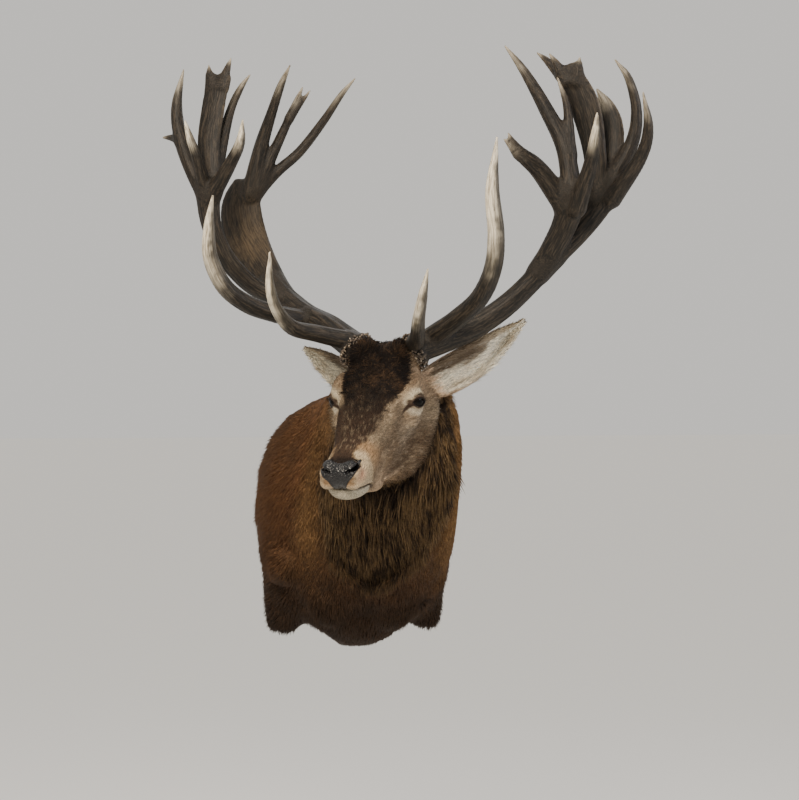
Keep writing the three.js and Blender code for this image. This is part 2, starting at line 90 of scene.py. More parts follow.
def linear(hexColour):
    channels = [int(hexColour[i:i + 2], 16) / 255 for i in (1, 3, 5)]
    return [c / 12.92 if c <= 0.04045 else ((c + 0.055) / 1.055) ** 2.4 for c in channels] + [1.0]


# links holds what goes into each socket, an output or a plain value; stops are those of a ramp
def addNode(tree, kind, settings=None, links=None, stops=(), **values):
    node = tree.nodes.new(kind)
    for key, value in (settings or {}).items():
        setattr(node, key, value)
    for key, value in values.items():
        node.inputs[key.replace("_", " ")].default_value = value
    for key, source in (links or {}).items():
        if isinstance(source, bpy.types.NodeSocket):
            tree.links.new(source, node.inputs[key])
        else:
            node.inputs[key].default_value = source
    if stops:
        elements = node.color_ramp.elements
        while len(elements) < len(stops):
            elements.new(0.5)
        for element, (position, colour) in zip(elements, stops):
            element.position = position
            element.color = linear(colour)
    return node


def newMaterial(name, **values):
    material = bpy.data.materials.new(name)
    material.use_nodes = True
    tree = material.node_tree
    tree.nodes.clear()
    shader = addNode(tree, "ShaderNodeBsdfPrincipled", **values)
    addNode(tree, "ShaderNodeOutputMaterial", links={"Surface": shader.outputs["BSDF"]})
    return material, tree, shader


# colour, then relief as source, strength and depth, then roughness as source, start and end
def dressSurface(tree, shader, colour, relief, shine=None):
    tree.links.new(colour, shader.inputs["Base Color"])
    source, strength, depth = relief
    bump = addNode(tree, "ShaderNodeBump", links={"Height": source}, Strength=strength, Distance=depth)
    tree.links.new(bump.outputs["Normal"], shader.inputs["Normal"])
    if shine:
        source, start, end = shine
        rough = addNode(tree, "ShaderNodeMapRange", links={"Value": source}, To_Min=start, To_Max=end)
        tree.links.new(rough.outputs["Result"], shader.inputs["Roughness"])
    return bump.outputs["Normal"]


def addObject(name, data):
    made = bpy.data.objects.new(name, data)
    bpy.context.scene.collection.objects.link(made)
    return made


# the mesh of an object with its modifiers worked out
def bakedMesh(piece):
    return bpy.data.meshes.new_from_object(piece.evaluated_get(bpy.context.evaluated_depsgraph_get()))


def makeCamera():
    camera = addObject("camera", bpy.data.cameras.new("camera"))
    camera.data.lens = cameraSetup["lens"]
    camera.data.clip_end = 100
    camera.location = Vector(cameraSetup["place"]) * mm
    camera.rotation_euler = (math.pi / 2, 0, math.radians(cameraSetup["azimuth"]))
    bpy.context.scene.camera = camera


def makeLights():
    for name, spec in lightSetup.items():
        data = bpy.data.lights.new(name, spec["kind"])
        if spec["kind"] == "AREA":
            data.shape = "DISK"
            data.size = spec["size"] * mm
        else:
            data.angle = spec["size"] * mm
        data.energy = spec["power"]
        data.color = linear(spec["colour"])[:3]
        lamp = addObject(name, data)
        lamp.location = Vector(spec["place"]) * mm
        aim = Vector(lightAim) * mm - lamp.location
        lamp.rotation_euler = aim.to_track_quat("-Z", "Y").to_euler()
    bpy.context.scene.world = bpy.data.worlds.new("studio")
    bpy.context.scene.world.use_nodes = True
    background = bpy.context.scene.world.node_tree.nodes["Background"]
    background.inputs["Color"].default_value = linear(world["colour"])
    background.inputs["Strength"].default_value = world["strength"]


def makeFloor():
    reach = floorSetup["reach"] * mm
    level = floorSetup["level"] * mm
    corners = [(-reach, -reach, level), (reach, -reach, level), (reach, reach, level),
               (-reach, reach, level)]
    mesh = bpy.data.meshes.new("floor")
    mesh.from_pydata(corners, [], [(0, 1, 2, 3)])
    floor = addObject("floor", mesh)
    # rolled studio paint: a pale matt ground with a faint unevenness in its shine
    material, tree, shader = newMaterial("matt studio paint", Base_Color=linear(floorSetup["colour"]))
    noise = addNode(tree, "ShaderNodeTexNoise", Scale=3.0, Detail=2.0)
    spread = addNode(tree, "ShaderNodeMapRange", links={"Value": noise.outputs["Fac"]}, To_Min=0.8,
                     To_Max=0.9)
    tree.links.new(spread.outputs["Result"], shader.inputs["Roughness"])
    mesh.materials.append(material)


makeCamera()
makeLights()
makeFloor()
print("camera, lights and floor ready")


# ---- fields: a shape is a grid of signed distances in millimetres, less than zero inside
emptyField = 60.0  # the distance where nothing is near


class Grid:
    def __init__(self, *axes):
        self.axes = [np.asarray(axis, float) for axis in axes]
        self.shape = tuple(len(axis) for axis in self.axes)

    def block(self, low, high):
        return tuple(slice(int(np.searchsorted(axis, a)), int(np.searchsorted(axis, b)))
                     for axis, a, b in zip(self.axes, low, high))

    # the block's points, measured from a centre along three directions
    def local(self, block, centre, axes=np.eye(3)):
        x, y, z = [self.axes[k][block[k]] - centre[k] for k in range(3)]
        return [((a[0] * x)[:, None, None] + (a[1] * y)[None, :, None] + (a[2] * z)[None, None, :])
                .astype(np.float32)
                for a in axes]


def evenGrid(low, high, step):
    return Grid(*[np.arange(a, b + step, step) for a, b in zip(low, high)])


# grid lines are close together between fine[0] and fine[1] and further apart outside
def uneven(low, high, fine, step, wide):
    before = np.arange(fine[0], low - wide, -wide)[::-1] if fine[0] > low else np.array([fine[0]])
    middle = np.arange(fine[0] + step, fine[1], step)
    after = np.arange(fine[1], high + wide, wide) if fine[1] < high else np.array([fine[1]])
    return np.concatenate([before, middle, after])


def smoothMin(a, b, blend):
    h = np.clip(0.5 + 0.5 * (b - a) / blend, 0, 1)
    return b + (a - b) * h - blend * h * (1 - h)


def smoothMax(a, b, blend):
    return -smoothMin(-a, -b, blend)


def smoothStep(low, high, x):
    t = np.clip((x - low) / (high - low), 0, 1)
    return t * t * (3 - 2 * t)


# adds a shape to a field softly, or cuts it out where the sign is below zero
def blendInto(field, block, shape, blend, sign):
    if sign > 0:
        field[block] = smoothMin(field[block], shape, blend)
    else:
        field[block] = smoothMax(field[block], -shape, blend)


def blurred(field, axes):
    for axis in axes:
        field = 0.25 * np.roll(field, 1, axis) + 0.5 * field + 0.25 * np.roll(field, -1, axis)
    return field


def ellipsoidField(local, size):
    scaled = np.sqrt(sum((c / s) ** 2 for c, s in zip(local, size)))
    steep = np.sqrt(sum((c / (s * s)) ** 2 for c, s in zip(local, size)))
    return scaled * (scaled - 1) / np.maximum(steep, 1e-6)


def capsuleField(grid, block, start, end, startRadius, endRadius):
    span = np.asarray(end) - start
    x, y, z = grid.local(block, start)
    share = np.clip((x * span[0] + y * span[1] + z * span[2]) / (span @ span), 0, 1)
    away = np.sqrt((x - share * span[0]) ** 2 + (y - share * span[1]) ** 2 + (z - share * span[2]) ** 2)
    return away - (startRadius + (endRadius - startRadius) * share)


# surface nets: one vertex in each cell that the surface crosses, one quad for each crossed edge
def surfaceNet(field, grid):
    inside = field < 0
    corners = [(i, j, k) for i in (0, 1) for j in (0, 1) for k in (0, 1)]
    total = np.zeros(np.array(field.shape) - 1, np.int8)
    for corner in corners:
        total += inside[tuple(slice(c, c + n - 1) for c, n in zip(corner, field.shape))]
    active = (total > 0) & (total < 8)
    cells = np.argwhere(active)
    number = np.full(active.shape, -1, np.int32)
    number[active] = np.arange(len(cells))
    values = {c: field[tuple((cells + c).T)] for c in corners}
    summed = np.zeros((len(cells), 3))
    hits = np.zeros(len(cells))
    for a in corners:
        for axis in range(3):
            if a[axis]:
                continue
            b = tuple(c + (k == axis) for k, c in enumerate(a))
            crossed = (values[a] < 0) != (values[b] < 0)
            share = np.where(crossed, values[a] / np.where(crossed, values[a] - values[b], 1), 0)
            summed += (np.array(a, float) + share[:, None] * np.eye(3)[axis]) * crossed[:, None]
            hits += crossed
    place = cells + summed / hits[:, None]
    vertices = np.stack([np.interp(place[:, k], np.arange(len(grid.axes[k])), grid.axes[k])
                         for k in range(3)], 1)
    quads = []
    for axis in range(3):
        u, v = (axis + 1) % 3, (axis + 2) % 3
        first = [slice(None)] * 3
        second = [slice(None)] * 3
        first[axis] = slice(0, -1)
        second[axis] = slice(1, None)
        start = np.argwhere(inside[tuple(first)] != inside[tuple(second)])
        edge = [start[:, k] for k in (u, v)]
        start = start[(edge[0] > 0) & (edge[1] > 0)
                      & (edge[0] < field.shape[u] - 1) & (edge[1] < field.shape[v] - 1)]
        stepU, stepV = np.eye(3, dtype=int)[u], np.eye(3, dtype=int)[v]
        ring = [start - stepU - stepV, start - stepV, start, start - stepU]
        quad = np.stack([number[tuple(r.T)] for r in ring], 1)
        backward = ~inside[tuple(start.T)]
        quad[backward] = quad[backward][:, ::-1]
        quads.append(quad)
    return vertices, np.concatenate(quads)


def makeMesh(name, vertices, faces, smooth=True):
    mesh = bpy.data.meshes.new(name)
    size = faces.shape[1]
    mesh.vertices.add(len(vertices))
    mesh.vertices.foreach_set("co", (np.asarray(vertices) * mm).astype(np.float32).ravel())
    mesh.loops.add(faces.size)
    mesh.loops.foreach_set("vertex_index", faces.astype(np.int32).ravel())
    mesh.polygons.add(len(faces))
    mesh.polygons.foreach_set("loop_start", np.arange(0, faces.size, size, dtype=np.int32))
    mesh.polygons.foreach_set("use_smooth", np.full(len(faces), smooth))
    mesh.update(calc_edges=True)
    return addObject(name, mesh)


def readPoints(mesh):
    flat = np.zeros(len(mesh.vertices) * 3, np.float32)
    mesh.vertices.foreach_get("co", flat)
    return flat.reshape(-1, 3).astype(float) / mm


def readNormals(mesh):
    flat = np.zeros(len(mesh.vertices) * 3, np.float32)
    mesh.vertex_normals.foreach_get("vector", flat)
    return flat.reshape(-1, 3).astype(float)


def readTriangles(mesh):
    mesh.calc_loop_triangles()
    flat = np.zeros(len(mesh.loop_triangles) * 3, np.int32)
    mesh.loop_triangles.foreach_get("vertices", flat)
    return flat.reshape(-1, 3)


def setValues(mesh, name, kind, values):
    attribute = mesh.attributes.new(name, kind, "POINT")
    slot = {"FLOAT": "value", "FLOAT_VECTOR": "vector", "FLOAT_COLOR": "color"}[kind]
    attribute.data.foreach_set(slot, np.asarray(values, np.float32).ravel())


# noise between -1 and 1, with bumps of the given size in millimetres
def noiseAt(points, size, seed):
    place = points / size + seed * 17.31
    cell = np.floor(place).astype(np.int64)
    share = place - cell
    share = share * share * (3 - 2 * share)
    total = np.zeros(len(points))
    # the large primes scramble a cell's place into a number
    for corner in ((i, j, k) for i in (0, 1) for j in (0, 1) for k in (0, 1)):
        c = cell + corner
        mixed = (c[:, 0] * 73856093) ^ (c[:, 1] * 19349663) ^ (c[:, 2] * 83492791) ^ (seed * 2654435)
        mixed = ((mixed ^ (mixed >> 13)) * 1274126177) & 0x7FFFFFFF
        weight = np.prod(np.where(np.array(corner) == 1, share, 1 - share), axis=1)
        total += ((mixed % 65521) / 32760.0 - 1) * weight
    return total


# a smooth curve through rows of numbers, whose first three are a place, at even steps
def smoothCurve(rows, step):
    rows = np.asarray(rows, float)
    padded = np.concatenate([2 * rows[:1] - rows[1:2], rows, 2 * rows[-1:] - rows[-2:-1]])
    made = []
    for a, b, c, d in zip(padded[:-3], padded[1:-2], padded[2:-1], padded[3:]):
        count = max(2, int(np.linalg.norm(c[:3] - b[:3]) / step))
        t = (np.arange(count) / count)[:, None]
        made.append(0.5 * (2 * b + (c - a) * t + (2 * a - 5 * b + 4 * c - d) * t ** 2
                           + (3 * b - a - 3 * c + d) * t ** 3))
    made.append(rows[-1:])
    return np.concatenate(made)


def addPiece(piece, slot, *nodes):
    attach(piece, "root")
    if nodes:
        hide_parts(*nodes)


# ---- antlers: every branch is rows of outward, forward, up, half width and half thickness
antlerRoutes = {
    "left": {
        "beam": [
            (57, 0, -4, 29), (106, -25, 14, 26), (158, -55, 38, 24), (212, -80, 76, 22),
            (263, -98, 124, 21), (312, -110, 180, 22),
        ],
        "browTine": [
            (64, 10, 8, 18), (95, 80, 19, 15), (120, 140, 53, 12), (140, 175, 94, 9), (156, 192, 141, 2),
        ],
        "beyTine": [
            (94, -12, 22, 21), (160, 25, 57, 19), (219, 70, 94, 18), (257, 110, 146, 17),
            (272, 140, 205, 16), (271, 160, 287, 13), (283, 170, 383, 2),
        ],
        "rearPalm": [
            (286, -104, 152, 21, 19), (349, -120, 222, 27, 17), (391, -130, 277, 31, 15),
            (418, -135, 323, 32, 13),
        ],
        "frontPalm": [
            (284, -102, 150, 20, 18), (337, -82, 227, 24, 16), (361, -60, 277, 27, 15),
            (369, -52, 313, 26, 13),
        ],
        "plate": [
            (399, -130, 290, 20, 13), (394, -118, 389, 24, 10), (378, -102, 476, 30, 8),
            (347, -88, 548, 21, 6),
        ],
        "plateProng1": [(342, -90, 520, 13, 7), (328, -88, 552, 9, 6), (312, -84, 577, 2, 2)],
        "plateProng2": [(362, -92, 520, 12, 7), (370, -90, 545, 8, 6), (372, -88, 566, 2, 2)],
        "plateProng3": [(330, -100, 535, 11, 7), (303, -112, 565, 8, 6), (277, -120, 587, 2, 2)],
        "fin": [
            (421, -142, 340, 20, 10), (422, -155, 425, 23, 8), (410, -162, 475, 17, 6),
            (389, -162, 514, 3, 3),
        ],
        "rearTine": [
            (419, -137, 318, 18), (462, -142, 399, 14), (474, -136, 462, 11), (463, -120, 523, 8),
            (439, -105, 561, 2),
        ],
        "outerTine": [(428, -127, 292, 18), (489, -105, 368, 13), (509, -85, 423, 10),
                      (505, -60, 487, 2)],
        "forkTine": [(346, -62, 280, 22), (309, -30, 340, 18), (283, 0, 368, 14), (252, 22, 398, 2)],
        "forkTineProng1": [(276, 6, 372, 10), (268, 16, 392, 7), (261, 25, 409, 2)],
        "highTine": [
            (366, -55, 300, 20), (349, -60, 388, 17), (312, -55, 467, 14), (274, -40, 537, 9),
            (239, -25, 587, 2),
        ],
        "shortTine": [(362, -58, 375, 12), (353, -65, 466, 8), (335, -60, 525, 2)],
        "foreTine": [(377, -52, 268, 18), (412, -15, 347, 13.5), (428, 10, 395, 10), (436, 25, 440, 2)],
    },
    "right": {
        "beam": [
            (57, 0, -2, 29), (121, -25, 37, 27), (186, -55, 67, 24), (239, -80, 100, 23),
            (288, -100, 140, 23),
        ],
        "browTine": [
            (72, 10, 15, 19), (119, 60, 28, 17), (153, 110, 40, 15), (168, 150, 74, 12),
            (170, 178, 119, 9), (164, 192, 181, 2),
        ],
        "beyTine": [
            (191, -44, 60, 20), (229, 15, 71, 18), (268, 65, 89, 18), (299, 105, 122, 17),
            (316, 135, 177, 15), (310, 155, 235, 11), (296, 168, 297, 2),
        ],
        "rearPalm": [
            (262, -92, 117, 22, 20), (325, -125, 187, 34, 16), (371, -150, 247, 46, 14),
            (386, -160, 305, 46, 13), (372, -160, 351, 33, 12),
        ],
        "frontPalm": [
            (256, -86, 106, 21, 20), (303, -62, 127, 20, 17), (333, -40, 155, 20, 16),
            (360, -20, 195, 20, 15), (378, -5, 246, 21, 14), (385, 0, 297, 25, 13), (382, 0, 336, 25, 12),
        ],
        "frontOuterTine": [
            (388, 0, 308, 18), (428, 0, 380, 15), (453, -5, 444, 14), (462, -10, 507, 11),
            (449, -15, 579, 2),
        ],
        "frontOuterTineProng1": [(450, -5, 432, 11), (478, -18, 440, 7), (504, -28, 443, 2)],
        "frontPlate": [
            (383, -4, 322, 22, 12), (392, -15, 422, 25, 10), (385, -20, 494, 26, 8),
            (374, -25, 560, 26, 6),
        ],
        "frontPlateProng1": [(366, -24, 540, 13, 6), (356, -24, 572, 9, 5), (346, -24, 597, 2, 2)],
        "frontPlateProng2": [(388, -24, 540, 12, 6), (394, -24, 567, 8, 5), (396, -24, 586, 2, 2)],
        "whiteTine": [(388, 4, 320, 14), (393, 35, 385, 11), (403, 50, 428, 8), (410, 58, 462, 2)],
        "frontRearTine": [
            (378, -10, 335, 14), (374, -45, 435, 12), (361, -55, 497, 9), (342, -58, 538, 7),
            (320, -60, 568, 2),
        ],
        "innerTine": [(373, 5, 318, 17), (324, 25, 377, 13), (299, 35, 415, 10), (290, 40, 461, 2)],
        "rearTine": [
            (364, -158, 335, 19), (338, -155, 430, 15), (310, -145, 497, 11), (281, -130, 554, 8),
            (254, -115, 592, 2),
        ],
        "forkedTine": [
            (348, -162, 345, 13), (313, -172, 427, 11), (287, -175, 481, 9), (266, -174, 524, 6.5),
            (248, -170, 556, 2),
        ],
        "forkedTineProng1": [(280, -175, 492, 7.5), (256, -177, 522, 5.5), (235, -178, 548, 2)],
        "longTine": [
            (358, -162, 330, 16), (316, -185, 380, 12), (270, -205, 425, 10.5), (221, -215, 487, 9),
            (179, -212, 540, 6.5), (144, -205, 573, 2),
        ],
    },
}
antler = {
    "step": 2.7, "quickStep": 4.0,  # millimetres between grid lines
    "web": 10,  # how softly the branches run into each other
    "groove": 0.055,  # depth of the long grooves, as a share of the half thickness
    "burrs": {"left": ((57, 0, -9), (74, -8, 2)), "right": ((57, 0, -7), (75, -6, 6))},
    "burrRadius": 35,
    "ivory": {"browTine": 0.48, "beyTine": 0.46, "whiteTine": 0.36, "foreTine": 0.32, "innerTine": 0.32},
    "grain": 2.6,  # width of the ridges in millimetres
    "litSide": (-0.9, -0.45, 0.1),  # the way that the lit sides of the tines face, where the ivory is drawn palest as painted light
    "tanPatch": (350, -135, 235), "tanReach": 72,  # a tan place on the right antler
    # the rubbed colour is the paler tone of ridges that stand proud, partly wear and partly a painted
    # highlight
    "hollow": "#0E0D0A", "bark": "#16130F", "ridge": "#3B3329", "stain": "#393024", "rubbedAndLit": "#5E5344",
    "tanGroove": "#251E14", "tan": "#4C3F2E", "bone": "#817560", "tip": "#DDD3BD",
}


def antlerBranches(hand, routes):
    branches = []
    for name, rows in routes.items():
        full = [(*antlerPoint(hand, *row[:3]), row[3], row[-1]) for row in rows]
        curve = smoothCurve(full, 9)
        place = curve[:, :3]
        tangent = unit(np.gradient(place, axis=0))
        wide = unit(leftAxis - tangent * (tangent @ leftAxis)[:, None])
        thick = np.cross(tangent, wide)
        station = np.concatenate([[0], np.cumsum(np.linalg.norm(np.diff(place, axis=0), axis=1))])
        branches.append((name, place, tangent, wide, thick, np.maximum(curve[:, 3:], 1.8), station))
    return branches


def branchField(grid, branch, seed):
    _, place, tangent, wide, thick, size, station = branch
    reach = size.max() + 14
    whole = grid.block(place.min(0) - reach, place.max(0) + reach)
    field = np.full([s.stop - s.start for s in whole], emptyField, np.float32)
    for i in range(len(place) - 1):
        reach = size[i:i + 2].max() + 13
        block = grid.block(np.minimum(place[i], place[i + 1]) - reach,
                           np.maximum(place[i], place[i + 1]) + reach)
        length = station[i + 1] - station[i]
        x, y, z = grid.local(block, place[i], np.stack([tangent[i], wide[i], thick[i]]))
        share = np.clip(x / length, 0, 1)
        over = x - share * length
        halfWide = size[i, 0] + (size[i + 1, 0] - size[i, 0]) * share
        halfThick = size[i, 1] + (size[i + 1, 1] - size[i, 1]) * share
        shape = ellipsoidField((over, y, z), (halfThick, halfWide, halfThick))
        angle = np.arctan2(z / halfThick, y / halfWide)
        run = station[i] + share * length
        ridges = (np.cos(7 * angle + 1.4 * np.sin(run / 43 + seed))
                  + 0.8 * np.cos(11 * angle - run / 60 + seed)
                  + 0.7 * np.cos(17 * angle + run / 35 + 2 * seed))
        shape = shape + antler["groove"] * (halfThick - 3) * 0.5 * ridges
        part = tuple(slice(b.start - w.start, b.stop - w.start) for b, w in zip(block, whole))
        field[part] = np.minimum(field[part], shape)
    return whole, field


def makeAntler(side, hand):
    branches = antlerBranches(hand, antlerRoutes[side])
    places = np.concatenate([branch[1] for branch in branches])
    grid = evenGrid(places.min(0) - 45, places.max(0) + 45, antler["step"])
    field = np.full(grid.shape, emptyField, np.float32)
    for number, branch in enumerate(branches):
        block, shape = branchField(grid, branch, number * 1.7 + hand)
        field[block] = smoothMin(field[block], shape, antler["web"])
    low, high = [antlerPoint(hand, *p) for p in antler["burrs"][side]]
    block = grid.block(low - 60, high + 60)
    axis = unit(high - low)
    radius = antler["burrRadius"]
    x, y, z = grid.local(block, (low + high) / 2, np.stack([axis, *acrossAxes(axis)]))
    angle = np.arctan2(z, y)
    lumps = 1.6 * np.cos(13 * angle) + 1.1 * np.cos(9 * angle + 2) + 0.9 * np.cos(22 * angle + 1)
    ring = np.sqrt((np.sqrt(y * y + z * z) - radius + 9) ** 2 + (x * 1.15) ** 2) - 8.5 - lumps
    disc = np.maximum(np.abs(x) - 8, np.sqrt(y * y + z * z) - radius + 8)
    field[block] = smoothMin(field[block], np.minimum(ring, disc), 5)
    vertices, quads = surfaceNet(field, grid)
    name = "antler" + side.capitalize()
    piece = makeMesh(name, vertices, quads)
    paintAntler(piece, side, branches, (low + high) / 2)
    nodes = [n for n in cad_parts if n.startswith(f"antler_{side}_")]
    addPiece(piece, "antler", *nodes)
    return piece


def acrossAxes(axis):
    first = unit(np.cross(axis, upAxis))
    return first, np.cross(axis, first)


# how far each vertex stands proud of its neighbours, in millimetres
def convexity(mesh, points, normals):
    ends = np.zeros(len(mesh.edges) * 2, np.int32)
    mesh.edges.foreach_get("vertices", ends)
    first, second = ends.reshape(-1, 2).T
    both, others = np.concatenate([first, second]), np.concatenate([second, first])
    count = np.bincount(both, minlength=len(points))

    def spread(values):
        return np.bincount(both, values[others], len(points)) / count

    middle = np.stack([spread(points[:, k]) for k in range(3)], 1)
    return spread(((points - middle) * normals).sum(1))


# what the finish reads: a coordinate drawn out along each branch, and how worn and pale it is, partly
# painted light: ivory mostly on the side facing the light, painted highlight on ridges that stand proud
def paintAntler(piece, side, branches, burr):
    points, normals = readPoints(piece.data), readNormals(piece.data)
    # painted light: how much each point faces the light, which decides where the ivory is drawn
    rubbedAndLit = smoothStep(0.1, 0.9, normals @ unit(np.array(antler["litSide"]))
                        + 0.3 * noiseAt(points, 12, 30))
    grain = np.zeros((len(points), 3))
    ivory = np.zeros(len(points))
    heavy = np.zeros(len(points))
    for number, (name, place, tangent, wide, thick, size, station) in enumerate(branches):
        near = np.argmin(((points[:, None, :] - place[None, ::2, :]) ** 2).sum(2), axis=1) * 2
        off = points - place[near]
        run = station[near] + (off * tangent[near]).sum(1)
        across = (off * wide[near]).sum(1)
        through = (off * thick[near]).sum(1)
        ratio = np.sqrt((across / size[near, 0]) ** 2 + (through / size[near, 1]) ** 2)
        beyond = np.maximum(0, np.maximum(-run, run - station[-1]))
        away = np.abs(ratio - 1) * size[near, 1] + 3 * beyond
        weight = np.exp(-away / 2.0) + 1e-9
        heavy += weight
        grain += weight[:, None] * (np.stack([across, through, run * 0.07], 1) + number * 31.0)
        pale = antler["ivory"].get(name, 0.2)
        reached = run / station[-1] + 0.05 * noiseAt(points, 18, number)
        # the ivory at the points is laid mostly on the lit side, as painted light
        tip = smoothStep(1 - pale - 0.12, 1 - pale + 0.2, reached) * (0.12 + 0.88 * rubbedAndLit)
        tip = np.maximum(tip, 0.75 * smoothStep(0.84, 0.98, reached))
        tapers = 1.0 if size[-1, 0] < 4 else 0.0
        strength = tapers * (1.0 if name in antler["ivory"] else 0.45)
        ivory += weight * tip * strength
    setValues(piece.data, "grain", "FLOAT_VECTOR", grain / heavy[:, None])
    setValues(piece.data, "ivory", "FLOAT", ivory / heavy)
    # ridges and edges that stand proud: rubbed wear and painted highlight
    setValues(piece.data, "wearAndHighlight", "FLOAT", smoothStep(0.1, 0.5, convexity(piece.data, points, normals)))
    lower = np.exp(-(np.linalg.norm(points - burr, axis=1) / 120) ** 2)
    tan = np.zeros(len(points))
    if side == "right":
        inner = normals @ (0.6 * leftAxis + 0.8 * heading) + 0.5 * noiseAt(points * (1, 1, 0.4), 9, 31)
        palm = antlerPoint(-1, *antler["tanPatch"])
        away = np.linalg.norm((points - palm) * (1, 1, 0.9), axis=1)
        tan = smoothStep(0.1, 0.8, inner) * np.exp(-(away / antler["tanReach"]) ** 2)
    setValues(piece.data, "rough", "FLOAT", lower)
    setValues(piece.data, "tan", "FLOAT", tan)


# antler, grown and rubbed: dark stained grooves between ridges polished paler, ridges that stand proud
# paler still as wear and painted highlight, ivory at the points laid mostly on the lit side as painted
# light
def antlerMaterial():
    material, tree, shader = newMaterial("rubbed antler", Specular_IOR_Level=0.25)
    grain = addNode(tree, "ShaderNodeAttribute", {"attribute_name": "grain"}).outputs["Vector"]
    place = addNode(tree, "ShaderNodeTexCoord").outputs["Object"]
    ivory = addNode(tree, "ShaderNodeAttribute", {"attribute_name": "ivory"}).outputs["Fac"]
    tan = addNode(tree, "ShaderNodeAttribute", {"attribute_name": "tan"}).outputs["Fac"]
    rubbedAndLit = addNode(tree, "ShaderNodeAttribute", {"attribute_name": "wearAndHighlight"}).outputs["Fac"]
    ridges = addNode(tree, "ShaderNodeTexNoise", links={"Vector": grain}, Scale=1 / antler["grain"],
                     Detail=3.0)
    fine = addNode(tree, "ShaderNodeTexNoise", links={"Vector": grain}, Scale=1.3, Detail=2.0)
    patches = addNode(tree, "ShaderNodeTexNoise", links={"Vector": place}, Scale=14.0, Detail=4.0)
    less = addNode(tree, "ShaderNodeMath", {"operation": "MULTIPLY"}, {0: fine.outputs["Fac"]})
    height = addNode(tree, "ShaderNodeMath", {"operation": "MULTIPLY_ADD"},
                     {0: ridges.outputs["Fac"], 1: 0.75, 2: less.outputs[0]})
    bark = addNode(tree, "ShaderNodeValToRGB", links={"Fac": height.outputs[0]},
                   stops=[(0.42, antler["hollow"]), (0.6, antler["bark"]),
                          (0.78, antler["ridge"])]).outputs["Color"]
    wearAndHighlight = addNode(tree, "ShaderNodeValToRGB", links={"Fac": patches.outputs["Fac"]},
                   stops=[(0.45, "#000000"), (0.75, "#6A6A6A")]).outputs["Color"]
    bark = addNode(tree, "ShaderNodeMix", {"data_type": "RGBA"},
                   {0: wearAndHighlight, 6: bark, 7: linear(antler["stain"])}).outputs[2]
    smooth = addNode(tree, "ShaderNodeValToRGB", links={"Fac": height.outputs[0]},
                     stops=[(0.45, antler["tanGroove"]), (0.7, antler["tan"])]).outputs["Color"]
    bark = addNode(tree, "ShaderNodeMix", {"data_type": "RGBA"}, {0: tan, 6: bark, 7: smooth}).outputs[2]
    # ridges that stand proud drawn paler: wear and painted highlight
    bark = addNode(tree, "ShaderNodeMix", {"data_type": "RGBA"},
                   {0: rubbedAndLit, 6: bark, 7: linear(antler["rubbedAndLit"])}).outputs[2]
    pale = addNode(tree, "ShaderNodeValToRGB", links={"Fac": ridges.outputs["Fac"]},
                   stops=[(0.3, antler["bone"]), (0.6, antler["tip"])]).outputs["Color"]
    colour = addNode(tree, "ShaderNodeMix", {"data_type": "RGBA"},
                     {0: ivory, 6: bark, 7: pale}).outputs[2]
    dressSurface(tree, shader, colour, (height.outputs[0], 0.55, 0.0012), (ivory, 0.55, 0.32))
    return material


antlerFinish = antlerMaterial()
antlers = [makeAntler("left", 1), makeAntler("right", -1)]
for made in antlers:
    made.data.materials.append(antlerFinish)
    print(made.name, len(made.data.polygons) * 2, "triangles")


# ---- the form under the hide: the flesh solids joined, measured and drawn in by the coat's depth
fleshNodes = ["trunk", "foreleg_left", "foreleg_right", "neck", "head", "muzzle", "lower_jaw", "nose_pad",
              "eye_left", "eye_right"]
coatDepth = {"muzzle": 2.5, "cheek": 5, "forehead": 9, "nape": 5, "throat": 24, "trunk": 8}
eye = {
    "side": 79, "along": 98, "rise": -57, "radius": 18.5,  # the ball
    "forward": {1: 37, -1: 42}, "up": 8, "slant": 26,  # the way it faces, in degrees
    "halfLength": 14.4, "halfHeight": 8.8,  # the opening
    "lid": 2.0,
}
mouth = {"along": (276, 291, 306, 313, 325, 331, 345, 362),
         "rise": (-126, -115, -105, -101, -97, -95, -90, -87),
         "corner": 299}
headSkin = {
    # middle (side, along, rise), half sizes, tilt in the side plane, softness; a cut has a minus sign
    "brow": ((76, 84, -32), (15, 32, 9), -10, 14, 1),
    "socketFront": ((76, 136, -50), (9, 18, 13), -35, 14, -1),
    "socketFloor": ((68, 101, -57), (19, 28, 20), -10, 12, 1),
    "hollow": ((93, 162, -66), (28, 46, 25), -24, 16, -1),
    "lowerRim": ((80, 112, -84), (9, 28, 8), -8, 18, 1),
    "cheekCrest": ((50, 168, -104), (13, 56, 12), -6, 24, 1),
    "upperLip": ((25, 325, -77), (20, 29, 11), -6, 12, 1),
    "alarFold": ((22, 325, -46), (9, 12, 7), 0, 5, 1),
    "nostrilWing": ((27, 331, -60), (13, 18, 13), -10, 10, 1),
    "chin": ((0, 318, -108), (32, 28, 15), 6, 12, 1),
    "jawBulge": ((30, 262, -139), (11, 32, 12), 30, 14, 1),
}
tearPit = {"start": (75, 121, -45), "end": (67, 139, -64), "radius": 3.0}
pedicle = {"root": (28, 4, -34), "back": 20, "radius": 31}


# the head's outline in its own directions: half width and jaw line along it, back edge by height
headWidth = ((-40, 0, 45, 90, 130, 170, 215, 260, 295, 350), (84, 112, 122, 118, 98, 84, 72, 66, 66, 62))
jawEdge = ((100, 130, 170, 215, 260, 295, 320, 345), (-246, -228, -212, -194, -178, -165, -150, -140))
headEdge = ((-300, -215, -182, -155, -130, -107, -80, -40, 40), (235, 160, 118, 88, 56, 22, -6, -34, -45))


